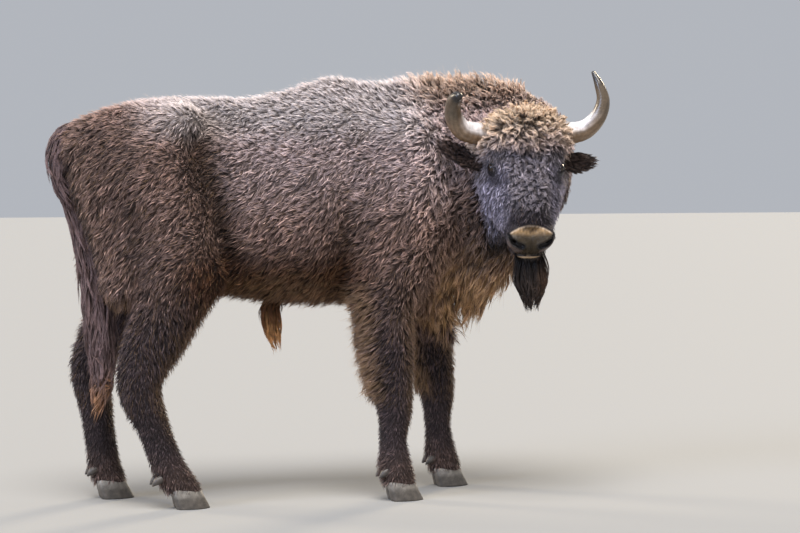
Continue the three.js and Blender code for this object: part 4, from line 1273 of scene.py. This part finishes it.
def sheath_colour(p):
    return mixed(BELLY * 1.3, (0.56, 0.30, 0.13), smooth(p[:, 2], 760, 680))


def tail_colour(p):
    return mixed(TAIL_BROWN, TAIL_TIP, smooth(p[:, 2], 620, 400) * 0.8)


# ---- the animal
FLESH = ["neck", "forequarters", "brisket", "barrel", "hindquarters", "head", "muzzle", "jaw"]
FLESH += [f"forearm_front_{s}" for s in ("left", "right")]
FLESH += [f"{part}_hind_{s}" for part in ("thigh", "gaskin") for s in ("left", "right")]
FLESH += [f"{part}_{leg}" for part in ("cannon", "foot") for leg in LEGS]


skin_obj = built_skin()
skin_rgb, bare = skin_colour(mesh_points(skin_obj))
attribute(skin_obj, "coat", skin_rgb)
attribute(skin_obj, "bare", np.repeat(bare[:, None], 3, 1))
dress(skin_obj, HIDE, "body_coat", *FLESH)
coat_over(skin_obj)

for side in ("left", "right"):
    dress(horn(side), HORN, "horn", f"horn_{side}")
    dress(eye(side), EYE, "eye", f"eye_{side}")
    ear_skin, ear_hair = ear(side)
    dress(ear_skin, HAIR, "face_coat", f"ear_{side}")
    dress(ear_hair, HAIR, "face_coat")

for leg, joints in LEGS.items():
    (toe, middle, _), fetlock = joints[-1][0], joints[-2][0][0]
    for which, hand in (("inner", -np.sign(middle)), ("outer", np.sign(middle))):
        name = f"claw_{which}_{leg}"
        dress(claw(name, toe + CLAW_REACH, middle, hand), HOOF, "hoof", name)
        dress(dewclaw(f"dew{name}", fetlock, middle + hand * 27), HOOF, "hoof", f"dew{name}")

# Long hair: path, wide axis, flatness, core's share of the radius at both ends, count, length and
# width of the locks, colour, where they start on the path, how they draw together and wave.
for (core, locks), slot, nodes in (
    (hanging("beard", BEARD, (0.988, -0.157, 0), 0.62, (0.94, 0.2), 2000, 120, 3.2, beard_colour,
             (0.43, 0.86), 0.86, 10.0, behind=0.18), "beard", ["beard"]),
    (hanging("sheath_tuft", SHEATH, (1, 0, 0), 0.8, (0.6, 0.1), 760, 130, 3.2, sheath_colour,
             (0.02, 0.66), 0.82, 12.0), "long_hair", ["sheath_tuft"]),
    (hanging("tail", TAIL, (1, 0, 0), 0.8, (0.62, 0.5), 3300, 200, 4.2, tail_colour,
             (0.0, 0.9), 0.8, 22.0), "long_hair", ["tail_dock", "tail_brush"]),
):
    dress(core, LONG_HAIR, slot, *nodes)
    dress(locks, LONG_HAIR, slot)

# ---- floor, light and camera
FLOOR_HALF = 40
floor_mesh = bpy.data.meshes.new("floor")
corners = [(x * FLOOR_HALF, y * FLOOR_HALF, 0) for x, y in ((-1, -1), (1, -1), (1, 1), (-1, 1))]
floor_mesh.from_pydata(corners, [], [(0, 1, 2, 3)])
ground = bpy.data.materials.new("ground")
ground.use_nodes = True
paint = ground.node_tree.nodes["Principled BSDF"].inputs
paint["Base Color"].default_value = (0.265, 0.262, 0.257, 1)
paint["Roughness"].default_value = 0.9
floor_mesh.materials.append(ground)
linked("floor", floor_mesh)

scene = bpy.context.scene
world = bpy.data.worlds.new("studio")
world.use_nodes = True
scene.world = world
sky = world.node_tree.nodes["Background"].inputs
sky["Color"].default_value = (0.88, 0.92, 1.0, 1)
sky["Strength"].default_value = 0.40
scene.view_settings.view_transform = "Standard"
scene.view_settings.exposure = 0.35


def aimed(obj, way):
    obj.rotation_euler = (-Vector(way)).to_track_quat("Z", "Y").to_euler()


# Lamps far away: name, direction of the light, apparent width in degrees, power, colour.
for name, way, spread, power, colour in (
    ("top", (0.14, 0.46, -1.0), 34, 3.5, (1.0, 0.97, 0.93)),
    ("back_right", (-0.75, -0.85, -0.45), 14, 1.5, (1.0, 0.84, 0.60)),
    ("back_left", (0.9, -0.7, -0.5), 14, 1.2, (1.0, 0.86, 0.64)),
    ("left", (0.95, 0.42, -0.40), 22, 1.3, (0.56, 0.70, 1.0)),
):
    light = bpy.data.lights.new(name, "SUN")
    light.angle, light.energy, light.color = math.radians(spread), power, colour
    aimed(linked(name, light), way)

# The camera stands CAMERA_BACK before the animal and CAMERA_ALONG forward of its middle, turned
# by TURN from its flank; the lens is 2400 pixels long and the horizon 113.5 pixels above the middle.
CAMERA_ALONG, CAMERA_BACK, CAMERA_HEIGHT = 487, 9000, 1300
TURN = math.radians(15)
DROP = math.atan(113.5 / 2400)
camera = linked("camera", bpy.data.cameras.new("camera"))
camera.data.lens, camera.data.sensor_width, camera.data.clip_end = 108, 36, 200
cos, sin = math.cos(TURN), math.sin(TURN)
camera.location = placed([CAMERA_ALONG * cos - CAMERA_BACK * sin,
                          -CAMERA_ALONG * sin - CAMERA_BACK * cos, CAMERA_HEIGHT])
aimed(camera, (sin * math.cos(DROP), cos * math.cos(DROP), -math.sin(DROP)))
scene.camera = camera
